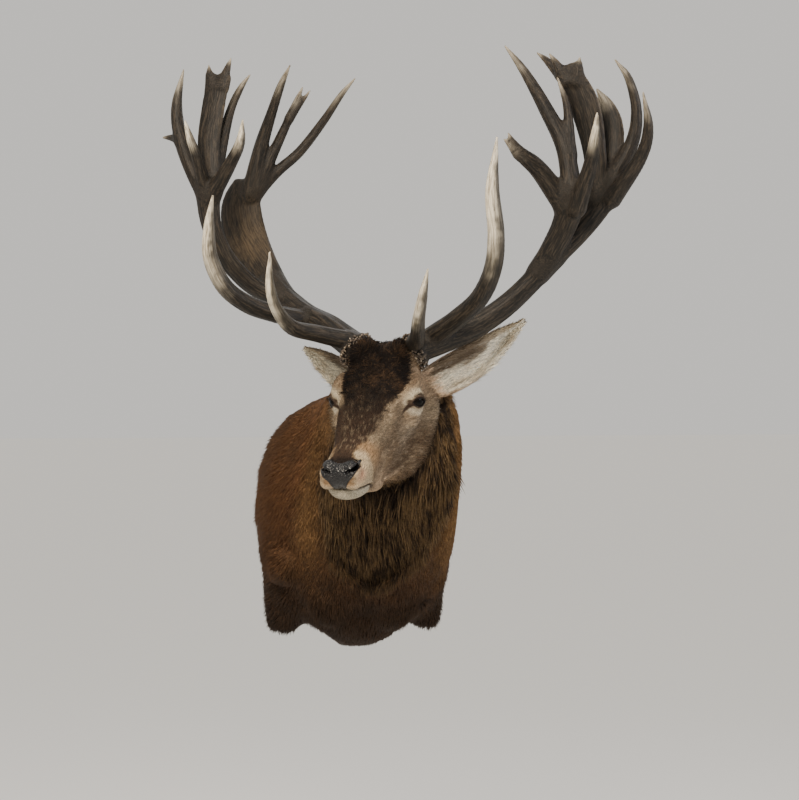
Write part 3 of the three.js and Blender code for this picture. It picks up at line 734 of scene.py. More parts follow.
def onHead(local, softness):
    back = np.interp(local[:, 2], *headEdge)
    inFront = smoothStep(-softness, softness, local[:, 1] - back)
    widest = np.interp(local[:, 1], *headWidth) * (1 - 0.14 * smoothStep(-60, -180, local[:, 2]))
    widest = widest + 40 * smoothStep(-60, -35, local[:, 2])
    lowest = np.interp(local[:, 1], *jawEdge)
    inside = smoothStep(softness, -softness, np.abs(local[:, 0]) - widest)
    return inFront * inside * smoothStep(-softness, softness, local[:, 2] - lowest)


bodySkin = {
    # middle (x, y, z), half sizes, softness; a hollow has a minus sign
    "shoulderRight": ((-160, -196, -78), (30, 46, 34), 22, 1),
    "creaseRight": ((-178, -206, -122), (22, 40, 7), 16, -1),
    "shoulderLeft": ((112, -262, -96), (36, 44, 32), 24, 1),
    "creaseLeft": ((122, -262, -142), (34, 40, 7), 16, -1),
    "chestRight": ((-84, -262, -150), (36, 30, 40), 24, 1),
    "chestLeft": ((42, -282, -158), (36, 30, 40), 24, 1),
    "legGapRight": ((-92, -120, -262), (40, 120, 52), 26, -1),
    "legGapLeft": ((112, -120, -262), (40, 120, 52), 26, -1),
}
maneWidth = ((-108, -84, -44, -16, 64, 130, 220, 330), (10, 42, 80, 94, 116, 124, 112, 90))


def inMane(points):
    half = np.interp(points[:, 2], *maneWidth)
    across = np.abs(points[:, 0] + 9 - 0.12 * points[:, 2])
    front = smoothStep(-215, -285, points[:, 1] + 0.25 * (points[:, 2] - 60))
    return smoothStep(1.15, 0.8, across / half) * front * smoothStep(-118, -80, points[:, 2])


def coatDepthAt(points):
    local = toHead(points)
    neck = smoothStep(-190, -270, points[:, 1])
    mane = inMane(points)
    depth = coatDepth["trunk"] + neck * (coatDepth["nape"] - coatDepth["trunk"])
    depth = depth * (1 - mane) + coatDepth["throat"] * mane
    face = smoothStep(110, 210, local[:, 1])
    top = (smoothStep(-50, -15, local[:, 2]) * smoothStep(130, 60, local[:, 1])
           * smoothStep(78, 50, np.abs(local[:, 0])))
    head = coatDepth["cheek"] + face * (coatDepth["muzzle"] - coatDepth["cheek"])
    head = head + top * (coatDepth["forehead"] - head)
    share = onHead(local, 30)
    return depth * (1 - share) + head * share


# millimetres: the grid's step, how far distances are measured, and how the solids are joined
flesh = {"step": 7.0, "far": 50.0, "voxel": 5, "weld": 0.05, "blurs": 2}


def joinedFlesh():
    vertices, faces = [], []
    start = 0
    for name in fleshNodes:
        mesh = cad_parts[name].data
        vertices.append(readPoints(mesh))
        faces.append(readTriangles(mesh) + start)
        start += len(mesh.vertices)
    piece = makeMesh("form", np.concatenate(vertices), np.concatenate(faces), False)
    weld = piece.modifiers.new("weld", "WELD")
    weld.merge_threshold = flesh["weld"] * mm
    remesh = piece.modifiers.new("remesh", "REMESH")
    remesh.mode = "VOXEL"
    remesh.voxel_size = flesh["voxel"] * mm
    whole = bakedMesh(piece)
    bpy.data.objects.remove(piece)
    return whole


# signed distance to the flesh on an even grid, softened so that no facet is left
def measureFlesh(low, high):
    whole = joinedFlesh()
    far = flesh["far"]
    grid = evenGrid(low, high, flesh["step"])
    points = np.stack(np.meshgrid(*grid.axes, indexing="ij"), -1).reshape(-1, 3)
    tree = BVHTree.FromPolygons((readPoints(whole) * mm).tolist(),
                                [tuple(p.vertices) for p in whole.polygons])
    distance = np.full(len(points), far)
    for i, point in enumerate((points * mm).tolist()):
        place, normal, _, away = tree.find_nearest(point, far * mm)
        if place is not None:
            side = sum((p - q) * n for p, q, n in zip(point, place, normal))
            distance[i] = math.copysign(away / mm, side)
    field = distance.reshape(grid.shape)
    # a point too far from the surface to be measured is inside if the one below it is
    for k in range(1, field.shape[2]):
        row = field[:, :, k]
        row[(row == far) & (field[:, :, k - 1] < 0)] = -far
    field = blurred(field, (0, 1, 2) * flesh["blurs"])
    return grid, field + coatDepthAt(points).reshape(grid.shape)


def resample(field, source, target):
    for axis in range(3):
        place = np.interp(target.axes[axis], source.axes[axis], np.arange(len(source.axes[axis])))
        first = np.clip(np.floor(place).astype(int), 0, len(source.axes[axis]) - 2)
        share = (place - first).reshape([-1 if k == axis else 1 for k in range(3)]).astype(np.float32)
        field = np.take(field, first, axis) * (1 - share) + np.take(field, first + 1, axis) * share
    return field.astype(np.float32)


def tilted(local, degrees):
    angle = math.radians(degrees)
    side, along, rise = local
    return [side, along * math.cos(angle) + rise * math.sin(angle),
            rise * math.cos(angle) - along * math.sin(angle)]


# the eye's own directions, in head axes: out through the opening, to its front corner and up
def eyeAxes(hand):
    forward, up, slant = [math.radians(angle)
                          for angle in (eye["forward"][hand], eye["up"], eye["slant"])]
    look = np.array([hand * math.cos(forward) * math.cos(up), math.sin(forward) * math.cos(up),
                     math.sin(up)])
    level = np.array([-hand * math.sin(forward), math.cos(forward), 0])
    rise = np.cross(look, level) * hand
    front = level * math.cos(slant) + rise * math.sin(slant)
    return np.stack([look, front, np.cross(look, front) * hand])


def eyeCentre(hand):
    return headPoint(hand * eye["side"], eye["along"], eye["rise"])


# radius of the arcs that the edges of the lids follow
def lidArc():
    length, height = eye["halfLength"], eye["halfHeight"]
    return (length ** 2 + height ** 2) / (2 * height)


# points measured outwards, forwards and upwards from the middle of an eye
def eyePlace(points, hand):
    return ((points - eyeCentre(hand)) @ (eyeAxes(hand) @ headAxes).T).T


# distance to the almond between the lids, across its own plane
def almond(front, up):
    radius, height = lidArc(), eye["halfHeight"]
    upper = np.sqrt(front ** 2 + (up + radius - height) ** 2) - radius
    lower = np.sqrt(front ** 2 + (up - radius + height) ** 2) - radius
    return np.maximum(upper, lower)


def shapeHead(field, grid):
    for middle, size, tilt, blend, sign in headSkin.values():
        for hand in (1, -1) if middle[0] else (1,):
            centre = headPoint(hand * middle[0], *middle[1:])
            reach = max(size) + 1.5 * blend
            block = grid.block(centre - reach, centre + reach)
            shape = ellipsoidField(tilted(grid.local(block, centre, headAxes), tilt), size)
            blendInto(field, block, shape, blend, sign)


# the haired stumps that carry the burrs
def addPedicles(field, grid):
    for hand, side in ((1, "left"), (-1, "right")):
        low, high = [antlerPoint(hand, *p) for p in antler["burrs"][side]]
        end = low - unit(high - low) * pedicle["back"]
        start = antlerPoint(hand, *pedicle["root"])
        block = grid.block(np.minimum(start, end) - 60, np.maximum(start, end) + 60)
        stump = capsuleField(grid, block, start, end, pedicle["radius"], pedicle["radius"])
        field[block] = smoothMin(field[block], stump, 14)


def shapeBody(field, grid):
    for middle, size, blend, sign in bodySkin.values():
        reach = max(size) + 1.5 * blend
        middle = np.array(middle, float)
        block = grid.block(middle - reach, middle + reach)
        blendInto(field, block, ellipsoidField(grid.local(block, middle), size), blend, sign)


def shapeLids(field, grid):
    for hand in (1, -1):
        centre = eyeCentre(hand)
        block = grid.block(centre - 55, centre + 55)
        look, front, up = grid.local(block, centre, eyeAxes(hand) @ headAxes)
        away = np.sqrt(look ** 2 + front ** 2 + up ** 2)
        field[block] = smoothMin(field[block], away - eye["radius"] - eye["lid"], 11)
        # the fold above the upper lid
        crease = (np.sqrt((away - eye["radius"] - eye["lid"]) ** 2 + (almond(front, up) - 6.5) ** 2) - 1.3
                  + 3 * smoothStep(2, -6, up) + smoothStep(0, -8, look) * 5)
        field[block] = smoothMax(field[block], -crease, 3)
        opening = np.maximum(almond(front, up), -look)
        field[block] = smoothMax(field[block], -opening, 1.2)
        field[block] = np.maximum(field[block], eye["radius"] - 1.0 - away)
        start, end = [headPoint(hand * p[0], *p[1:]) for p in (tearPit["start"], tearPit["end"])]
        block = grid.block(np.minimum(start, end) - 14, np.maximum(start, end) + 14)
        pit = capsuleField(grid, block, start, end, tearPit["radius"] * 0.8, tearPit["radius"])
        field[block] = smoothMax(field[block], -pit, 5)


def shapeMouth(field, grid):
    centre = headPoint(0, 315, -100)
    block = grid.block(centre - 72, centre + 72)
    side, along, rise = grid.local(block, headPlace, headAxes)
    line = np.interp(along, mouth["along"], mouth["rise"]).astype(np.float32)
    cut = np.maximum(np.abs(rise - line) - 1.5, mouth["corner"] - along)
    cut = np.maximum(cut, -field[block] - 6)
    field[block] = smoothMax(field[block], -cut, 2.5)
    # the groove that splits the upper lip
    groove = (np.sqrt(side ** 2 + field[block] ** 2) - 1.6 + 2 * smoothStep(-66, -60, rise)
              + 9 * (rise < line))
    field[block] = smoothMax(field[block], -np.maximum(groove, 330 - along), 2.5)


# nostrils: a slit that curls round the fold of the wing, and runs back and inwards
nostril = {
    "slit": ((26, 304, -48, 2.4), (34, 313, -50, 4.2), (34, 325, -50, 4.8), (30, 337, -49, 4.4),
             (23, 343, -49, 3.2),
             (17, 345, -51, 2.2)),
    "deep": (17, 318, -62, 5.0), "depths": (-0.7, -0.45, -0.2, 0.1, 0.4, 0.7),
}


# the rounded bars that make up the nostrils: start, end and their radii
def nostrilBars():
    bars = []
    for hand in (1, -1):
        deep = np.array(nostril["deep"], float)
        for depth in nostril["depths"]:
            row = [np.array(p, float) * (1 - depth) + deep * depth for p in nostril["slit"]]
            for p, q in zip(row, row[1:]):
                bars.append((headPoint(hand * p[0], *p[1:3]), headPoint(hand * q[0], *q[1:3]),
                             p[3], q[3]))
    return bars


# distance of points to the nearer nostril
def nostrilDistance(points):
    best = np.full(len(points), 99.0)
    for start, end, first, last in nostrilBars():
        share = np.clip((points - start) @ (end - start) / ((end - start) @ (end - start)), 0, 1)
        away = np.linalg.norm(points - start - share[:, None] * (end - start), axis=1)
        best = np.minimum(best, away - first - (last - first) * share)
    return best


def carveNostrils(field, grid):
    for start, end, first, last in nostrilBars():
        block = grid.block(np.minimum(start, end) - 12, np.maximum(start, end) + 12)
        field[block] = smoothMax(field[block], -capsuleField(grid, block, start, end, first, last), 1.5)


ears = {
    "left": {"hand": 1, "base": (68, -26, -80), "tip": (251, -118, 55), "facing": (0.3, 0.93, -0.2)},
    "right": {"hand": -1, "base": (68, -26, -78), "tip": (243, -165, 7), "facing": (0.5, 0.83, -0.2)},
}
earShape = {"halfWidth": 37, "cup": 24, "wall": 5.0, "bow": 12, "sag": 11}


# an ear's directions: across it and downwards, from base to tip, and out of its hollow
def earFrame(ear):
    hand = ear["hand"]
    base = antlerPoint(hand, *ear["base"])
    tip = antlerPoint(hand, *ear["tip"])
    length = np.linalg.norm(tip - base)
    axis = (tip - base) / length
    facing = antlerPoint(hand, *ear["facing"]) - headPlace
    facing = unit(facing - axis * (facing @ axis))
    return base, length, np.stack([np.cross(axis, facing) * hand, axis, facing])


# how deep and how wide an ear is, by the share of its length from the base
def earCup(t, width):
    return earShape["cup"] * (1 - 0.7 * t) * np.minimum(1, width / 18)


def earHalfWidth(t):
    leaf = np.sin(np.pi * np.clip(0.2 + 0.8 * np.clip(t, 0, 1) ** 0.82, 0, 1))
    return earShape["halfWidth"] * np.maximum(0.18, np.maximum(leaf, 0) ** 0.72)


def earField(across, along, out, length):
    t = np.clip(along / length, 0, 1)
    width = earHalfWidth(t)
    across = across - earShape["sag"] * np.sin(np.pi * t)
    cup = earCup(t, width)
    out = out + earShape["bow"] * np.sin(np.pi * t)
    half = 0.5 * earShape["wall"] * (1.3 - 0.4 * t)
    hollow = np.minimum(out, 0)
    ring = np.sqrt((across / (width - half)) ** 2 + (hollow / cup) ** 2)
    steep = np.sqrt((across / (width - half) ** 2) ** 2 + (hollow / cup ** 2) ** 2)
    shell = np.abs(ring * (ring - 1) / np.maximum(steep, 1e-3)) - half
    shell = smoothMax(np.maximum(shell, out - 2), along - length + 1, 3)
    return np.maximum(shell, -along - 6)


def addEars(field, grid):
    for ear in ears.values():
        base, length, axes = earFrame(ear)
        tip = base + axes[1] * length
        block = grid.block(np.minimum(base, tip) - 55, np.maximum(base, tip) + 55)
        across, along, out = grid.local(block, base, axes)
        field[block] = smoothMin(field[block], earField(across, along, out, length).astype(np.float32), 8)


# millimetres: for x, y and z the skin's reach and the stretch with the finer grid, then the grid's steps
skinGrid = {
    "low": (-260, -720, -275), "high": (300, -12, 460), "fine": ((-236, 274), (-716, -300), (90, 450)),
    "steps": (2.2, 5.5), "quickSteps": (4.0, 8.0),
    "back": 18.6,  # the skin ends this far in front of the wall
    "kept": 0.56,  # share of the faces that are left by thinning
}


def makeSkin():
    coarse, form = measureFlesh(np.array(skinGrid["low"]) - 20, np.array(skinGrid["high"]) + 20)
    steps = skinGrid["steps"]
    spans = zip(skinGrid["low"], skinGrid["high"], skinGrid["fine"])
    grid = Grid(*[uneven(low, high, fine, *steps) for low, high, fine in spans])
    field = resample(form, coarse, grid)
    field = np.maximum(field, (grid.axes[1] + skinGrid["back"])[None, :, None].astype(np.float32))
    shapeHead(field, grid)
    shapeBody(field, grid)
    addPedicles(field, grid)
    addEars(field, grid)
    shapeLids(field, grid)
    shapeMouth(field, grid)
    carveNostrils(field, grid)
    vertices, quads = surfaceNet(field, grid)
    piece = makeMesh("skin", vertices, quads)
    # fewer faces where the form is flat
    thin = piece.modifiers.new("thin", "DECIMATE")
    thin.ratio = skinGrid["kept"]
    mesh = bakedMesh(piece)
    piece.modifiers.clear()
    piece.data = mesh
    return piece, coarse, form


skin, formGrid, formField = makeSkin()
print("skin", len(readTriangles(skin.data)), "triangles")
addPiece(skin, "coat", "trunk", "foreleg_left", "foreleg_right", "neck", "head", "muzzle", "lower_jaw",
         "ear_left", "ear_right")


# ---- nose pad: the bare wet end of the muzzle, cut from the same form a little proud of the skin
nose = {
    "middle": (0, 332, -70), "step": 1.1, "quickStep": 2.2, "thick": 26,
    "proud": 1.5, "top": 325, "dip": 0.03, "blurs": 26,
    "rise": (-92, -84, -74, -66, -61, -56, -50, -40),
    "half": (12, 13, 17, 21, 27, 35, 39, 39), "foot": -90,
    "reach": 50,  # nothing of the pad lies further from its middle
    "pebble": 2.6,  # millimetres across one pebble of the skin
    "skin": ((0.35, "#040304"), (0.62, "#0B090A"), (0.8, "#1A1615")),
}


def makeNosePad():
    centre = headPoint(*nose["middle"])
    reach = nose["reach"] + 14
    grid = evenGrid(centre - reach, centre + reach, nose["step"])
    field = resample(formField.astype(np.float32), formGrid, grid)
    shapeHead(field, grid)
    field = blurred(field, (0, 1, 2) * nose["blurs"])
    block = tuple(slice(0, n) for n in grid.shape)
    side, along, rise = grid.local(block, headPlace, headAxes)
    shifts = (-6, -3, 0, 3, 6)
    half = (sum(np.interp(rise + shift, nose["rise"], nose["half"]) for shift in shifts)
            .astype(np.float32) / len(shifts))
    outline = np.maximum(np.abs(side) - half, nose["top"] - nose["dip"] * side ** 2 - along)
    outline = smoothMax(outline, nose["foot"] - rise, 4)
    groove = 0.9 * np.exp(-(side / 1.8) ** 2) * smoothStep(-52, -62, rise)
    field = field - nose["proud"] + groove
    field = np.maximum(field, -field - nose["thick"])
    field = smoothMax(field, outline, 3)
    away = np.sqrt(sum((place - middle) ** 2
                       for place, middle in zip((side, along, rise), nose["middle"])))
    field = np.maximum(field, away - nose["reach"])
    carveNostrils(field, grid)
    vertices, quads = surfaceNet(field, grid)
    piece = makeMesh("nosePad", vertices, quads)
    addPiece(piece, "nose", "nose_pad")
    return piece


# wet bare skin: black and pebbled, shining where it is moist, duller and browner in broad patches
def noseMaterial():
    material, tree, shader = newMaterial("wet pebbled nose skin", Specular_IOR_Level=0.12,
                                         Coat_Weight=0.8, Coat_Roughness=0.12,
                                         Coat_IOR=1.45)
    place = addNode(tree, "ShaderNodeTexCoord").outputs["Object"]
    pebble = addNode(tree, "ShaderNodeTexVoronoi", {"feature": "SMOOTH_F1"}, links={"Vector": place},
                     Scale=1000 / nose["pebble"])
    broad = addNode(tree, "ShaderNodeTexNoise", links={"Vector": place}, Scale=60.0, Detail=4.0)
    colour = addNode(tree, "ShaderNodeValToRGB", links={"Fac": broad.outputs["Fac"]},
                     stops=nose["skin"]).outputs["Color"]
    normal = dressSurface(tree, shader, colour, (pebble.outputs["Distance"], 1.0, 0.0018),
                          (broad.outputs["Fac"], 0.4, 0.6))
    tree.links.new(normal, shader.inputs["Coat Normal"])
    return material


# ---- eyes: glass balls with a dark iris, and the bare rims that close round them
eyeGlass = {
    "iris": 11.5, "pupilLong": 7.0, "pupilHigh": 4.4, "bulge": 1.0, "rings": 40, "steps": 56,
    "brown": ((0.3, "#080402"), (0.7, "#130903")), "edge": "#080504", "pupil": "#030303",
}
lidRim = {"radius": 1.5, "lift": 1.4, "sides": 8, "skin": ((0.35, "#0D0907"), (0.7, "#1E1510"))}


def makeEye(name, hand):
    centre = eyeCentre(hand)
    axes = eyeAxes(hand) @ headAxes
    polar = np.linspace(0, math.pi, eyeGlass["rings"] + 1)[1:-1]
    turn = np.arange(eyeGlass["steps"]) / eyeGlass["steps"] * 2 * math.pi
    p, q = np.meshgrid(polar, turn, indexing="ij")
    local = np.stack([np.cos(p), np.sin(p) * np.cos(q), np.sin(p) * np.sin(q)], -1).reshape(-1, 3)
    local = np.concatenate([[[1, 0, 0]], local, [[-1, 0, 0]]])
    radius = eye["radius"]
    offAxis = radius * np.linalg.norm(local[:, 1:], axis=1)
    shell = radius + eyeGlass["bulge"] * smoothStep(eyeGlass["iris"], 0, offAxis) * (local[:, 0] > 0)
    points = centre + (local * shell[:, None]) @ axes
    n, rings = eyeGlass["steps"], eyeGlass["rings"] - 1
    faces = [(0, 1 + j, 1 + (j + 1) % n) for j in range(n)]
    for i in range(rings - 1):
        for j in range(n):
            a, b = 1 + i * n + j, 1 + i * n + (j + 1) % n
            faces += [(a, a + n, b + n), (a, b + n, b)]
    last = len(points) - 1
    faces += [(last, 1 + (rings - 1) * n + (j + 1) % n, 1 + (rings - 1) * n + j) for j in range(n)]
    faces = np.array(faces)
    if hand < 0:
        faces = faces[:, ::-1]
    piece = makeMesh(name, points, faces)
    front, up = radius * local[:, 1], radius * local[:, 2]
    pupil = np.sqrt((front / eyeGlass["pupilLong"]) ** 2 + (up / eyeGlass["pupilHigh"]) ** 2)
    setValues(piece.data, "pupil", "FLOAT", np.where(local[:, 0] > 0, pupil, 9))
    setValues(piece.data, "iris", "FLOAT", np.where(local[:, 0] > 0, offAxis / eyeGlass["iris"], 9))
    addPiece(piece, "eye", "eye_left" if hand > 0 else "eye_right")
    return piece


# a taxidermist's glass eye: deep brown iris round a level pupil, under a clear polished face
def eyeMaterial():
    material, tree, shader = newMaterial("brown glass eye", Roughness=0.05, Specular_IOR_Level=0.12)
    iris = addNode(tree, "ShaderNodeAttribute", {"attribute_name": "iris"}).outputs["Fac"]
    pupil = addNode(tree, "ShaderNodeAttribute", {"attribute_name": "pupil"}).outputs["Fac"]
    place = addNode(tree, "ShaderNodeTexCoord").outputs["Object"]
    fibre = addNode(tree, "ShaderNodeTexNoise", links={"Vector": place}, Scale=700.0, Detail=3.0)
    brown = addNode(tree, "ShaderNodeValToRGB", links={"Fac": fibre.outputs["Fac"]},
                    stops=eyeGlass["brown"]).outputs["Color"]
    ring = addNode(tree, "ShaderNodeValToRGB", links={"Fac": iris},
                   stops=[(0.85, "#FFFFFF"), (1.0, "#000000")]).outputs["Color"]
    colour = addNode(tree, "ShaderNodeMix", {"data_type": "RGBA"},
                     {0: ring, 6: linear(eyeGlass["edge"]), 7: brown}).outputs[2]
    hole = addNode(tree, "ShaderNodeValToRGB", links={"Fac": pupil},
                   stops=[(0.9, "#FFFFFF"), (1.05, "#000000")]).outputs["Color"]
    colour = addNode(tree, "ShaderNodeMix", {"data_type": "RGBA"},
                     {0: hole, 6: colour, 7: linear(eyeGlass["pupil"])}).outputs[2]
    tree.links.new(colour, shader.inputs["Base Color"])
    return material


# a closed tube along a loop of rows of x, y, z and radius
def tubeMesh(rows, sides):
    rows = np.asarray(rows, float)
    place, radius = rows[:, :3], rows[:, 3]
    tangent = unit(np.roll(place, -1, 0) - np.roll(place, 1, 0))
    first = unit(np.cross(tangent, unit(place.mean(0) - headPoint(0, 60, -60))))
    second = np.cross(tangent, first)
    turn = np.arange(sides) / sides * 2 * math.pi
    ring = place[:, None] + radius[:, None, None] * (first[:, None] * np.cos(turn)[None, :, None]
                                                     + second[:, None] * np.sin(turn)[None, :, None])
    points = ring.reshape(-1, 3)
    faces = []
    count = len(rows)
    for i in range(count):
        for j in range(sides):
            a, b = i * sides + j, i * sides + (j + 1) % sides
            c, d = (i + 1) % count * sides + j, (i + 1) % count * sides + (j + 1) % sides
            faces += [(a, b, d), (a, d, c)]
    return points, np.array(faces)


def makeLidRims(name, hand):
    centre = eyeCentre(hand)
    axes = eyeAxes(hand) @ headAxes
    arc, height = lidArc(), eye["halfHeight"]
    sweep = math.asin(eye["halfLength"] / arc)
    loop = []
    for lower in (False, True):
        for share in np.linspace(-1, 1, 22)[:-1]:
            turn = sweep * share * (-1 if lower else 1)
            front, up = arc * math.sin(turn), arc * math.cos(turn) - arc + height
            if lower:
                up = -up
            radius = eye["radius"] + lidRim["lift"]
            out = math.sqrt(radius ** 2 - front ** 2 - up ** 2)
            loop.append((*(centre + np.array([out, front, up]) @ axes),
                         lidRim["radius"] * (0.75 if lower else 1)))
    piece = makeMesh(name, *tubeMesh(loop, lidRim["sides"]))
    fixNormals(piece)
    addPiece(piece, "eye")
    return piece


def fixNormals(piece):
    made = bmesh.new()
    made.from_mesh(piece.data)
    bmesh.ops.recalc_face_normals(made, faces=made.faces)
    made.to_mesh(piece.data)
    made.free()


# bare lid skin: brown-black, slightly moist, finely wrinkled
def lidMaterial():
    material, tree, shader = newMaterial("bare lid skin", Specular_IOR_Level=0.15)
    place = addNode(tree, "ShaderNodeTexCoord").outputs["Object"]
    noise = addNode(tree, "ShaderNodeTexNoise", links={"Vector": place}, Scale=500.0, Detail=3.0)
    colour = addNode(tree, "ShaderNodeValToRGB", links={"Fac": noise.outputs["Fac"]},
                     stops=lidRim["skin"]).outputs["Color"]
    dressSurface(tree, shader, colour, (noise.outputs["Fac"], 0.4, 0.0005),
                 (noise.outputs["Fac"], 0.35, 0.55))
    return material


nosePad = makeNosePad()
nosePad.data.materials.append(noseMaterial())
print("nose pad", len(nosePad.data.polygons) * 2, "triangles")
eyeFinish = eyeMaterial()
lidFinish = lidMaterial()
for side, hand in (("Left", 1), ("Right", -1)):
    makeEye("eye" + side, hand).data.materials.append(eyeFinish)
    makeLidRims("lidRims" + side, hand).data.materials.append(lidFinish)
print("eyes and lids made")


# ---- markings: one colour for each place, the same on the skin and on the hair that grows from it, some partly painted shade
coatColours = {
    # the belly and stub colours are partly painted shade
    "body": "#80593A", "back": "#745236", "bellyAndShade": "#32261B", "shoulder": "#664A33", "stubAndShade": "#33271F",
    "mane": "#1F150E", "maneTip": "#836A4A", "neck": "#554029", "neckStreak": "#261B13",
    "neckEdge": "#80603C",
    "forehead": "#120C09", "curl": "#443323", "bridge": "#46362A", "stripe": "#A8957A", "cheek": "#806B54",
    "jowl": "#6A5540", "cheekGrey": "#A08F78", "jaw": "#C8AB8A", "cream": "#CDB794", "fawn": "#A58562",
    "pink": "#CC9F80", "lip": "#CDB899", "chin": "#CFC4AC", "mouth": "#35271E", "brow": "#CFC0A3",
    "lid": "#54453A", "underEye": "#DACBB0", "tear": "#43342A", "behindEye": "#4E3D2C", "earGap": "#CFB291",
    "earIn": "#FAF1DA", "earShade": "#B5A283", "earBack": "#5B4937", "earRim": "#6B5A46",
    "nosePadSkin": "#1A1718",
}
shades = {name: np.array(linear(value)[:3]) for name, value in coatColours.items()}
bridgeWidth = ((-20, 40, 88, 119, 140, 176, 216, 250, 280, 298, 312),
               (44, 54, 62, 57, 46, 39, 33, 23, 13, 13, 28))


# how near a point is to the middle of a soft spot, from 0 to 1, the same on both sides of the head
def spot(local, middle, size):
    place = local - np.array(middle, float)
    place[:, 0] = np.abs(local[:, 0]) - middle[0]
    return np.exp(-((place / size) ** 2).sum(1))


def paint(colour, share, shade):
    return colour + (shades[shade] - colour) * np.clip(share, 0, 1)[:, None]


def earPlace(points):
    best = {"share": np.zeros(len(points)), "inside": np.zeros(len(points)), "t": np.zeros(len(points)),
            "across": np.zeros(len(points)), "axis": np.zeros((len(points), 3)),
            "which": np.zeros(len(points))}
    for number, ear in enumerate(ears.values()):
        base, length, axes = earFrame(ear)
        across, along, out = ((points - base) @ axes.T).T
        share = smoothStep(9, 3, earField(across, along, out, length)) * smoothStep(4, 34, along)
        t = np.clip(along / length, 0, 1)
        width = earHalfWidth(t)
        cup = earCup(t, width)
        bowed = out + earShape["bow"] * np.sin(np.pi * t)
        across = across - earShape["sag"] * np.sin(np.pi * t)
        ring = np.sqrt((across / width) ** 2 + (np.minimum(bowed, 0) / cup) ** 2)
        share = smoothStep(0.35, 0.65, share)
        taken = share > best["share"]
        for key, value in (("share", share), ("inside", smoothStep(1.0, 0.9, ring)), ("t", t),
                           ("across", across / width), ("which", np.full(len(points), number))):
            best[key] = np.where(taken, value, best[key])
        best["axis"] = np.where(taken[:, None], axes[1], best["axis"])
    return best


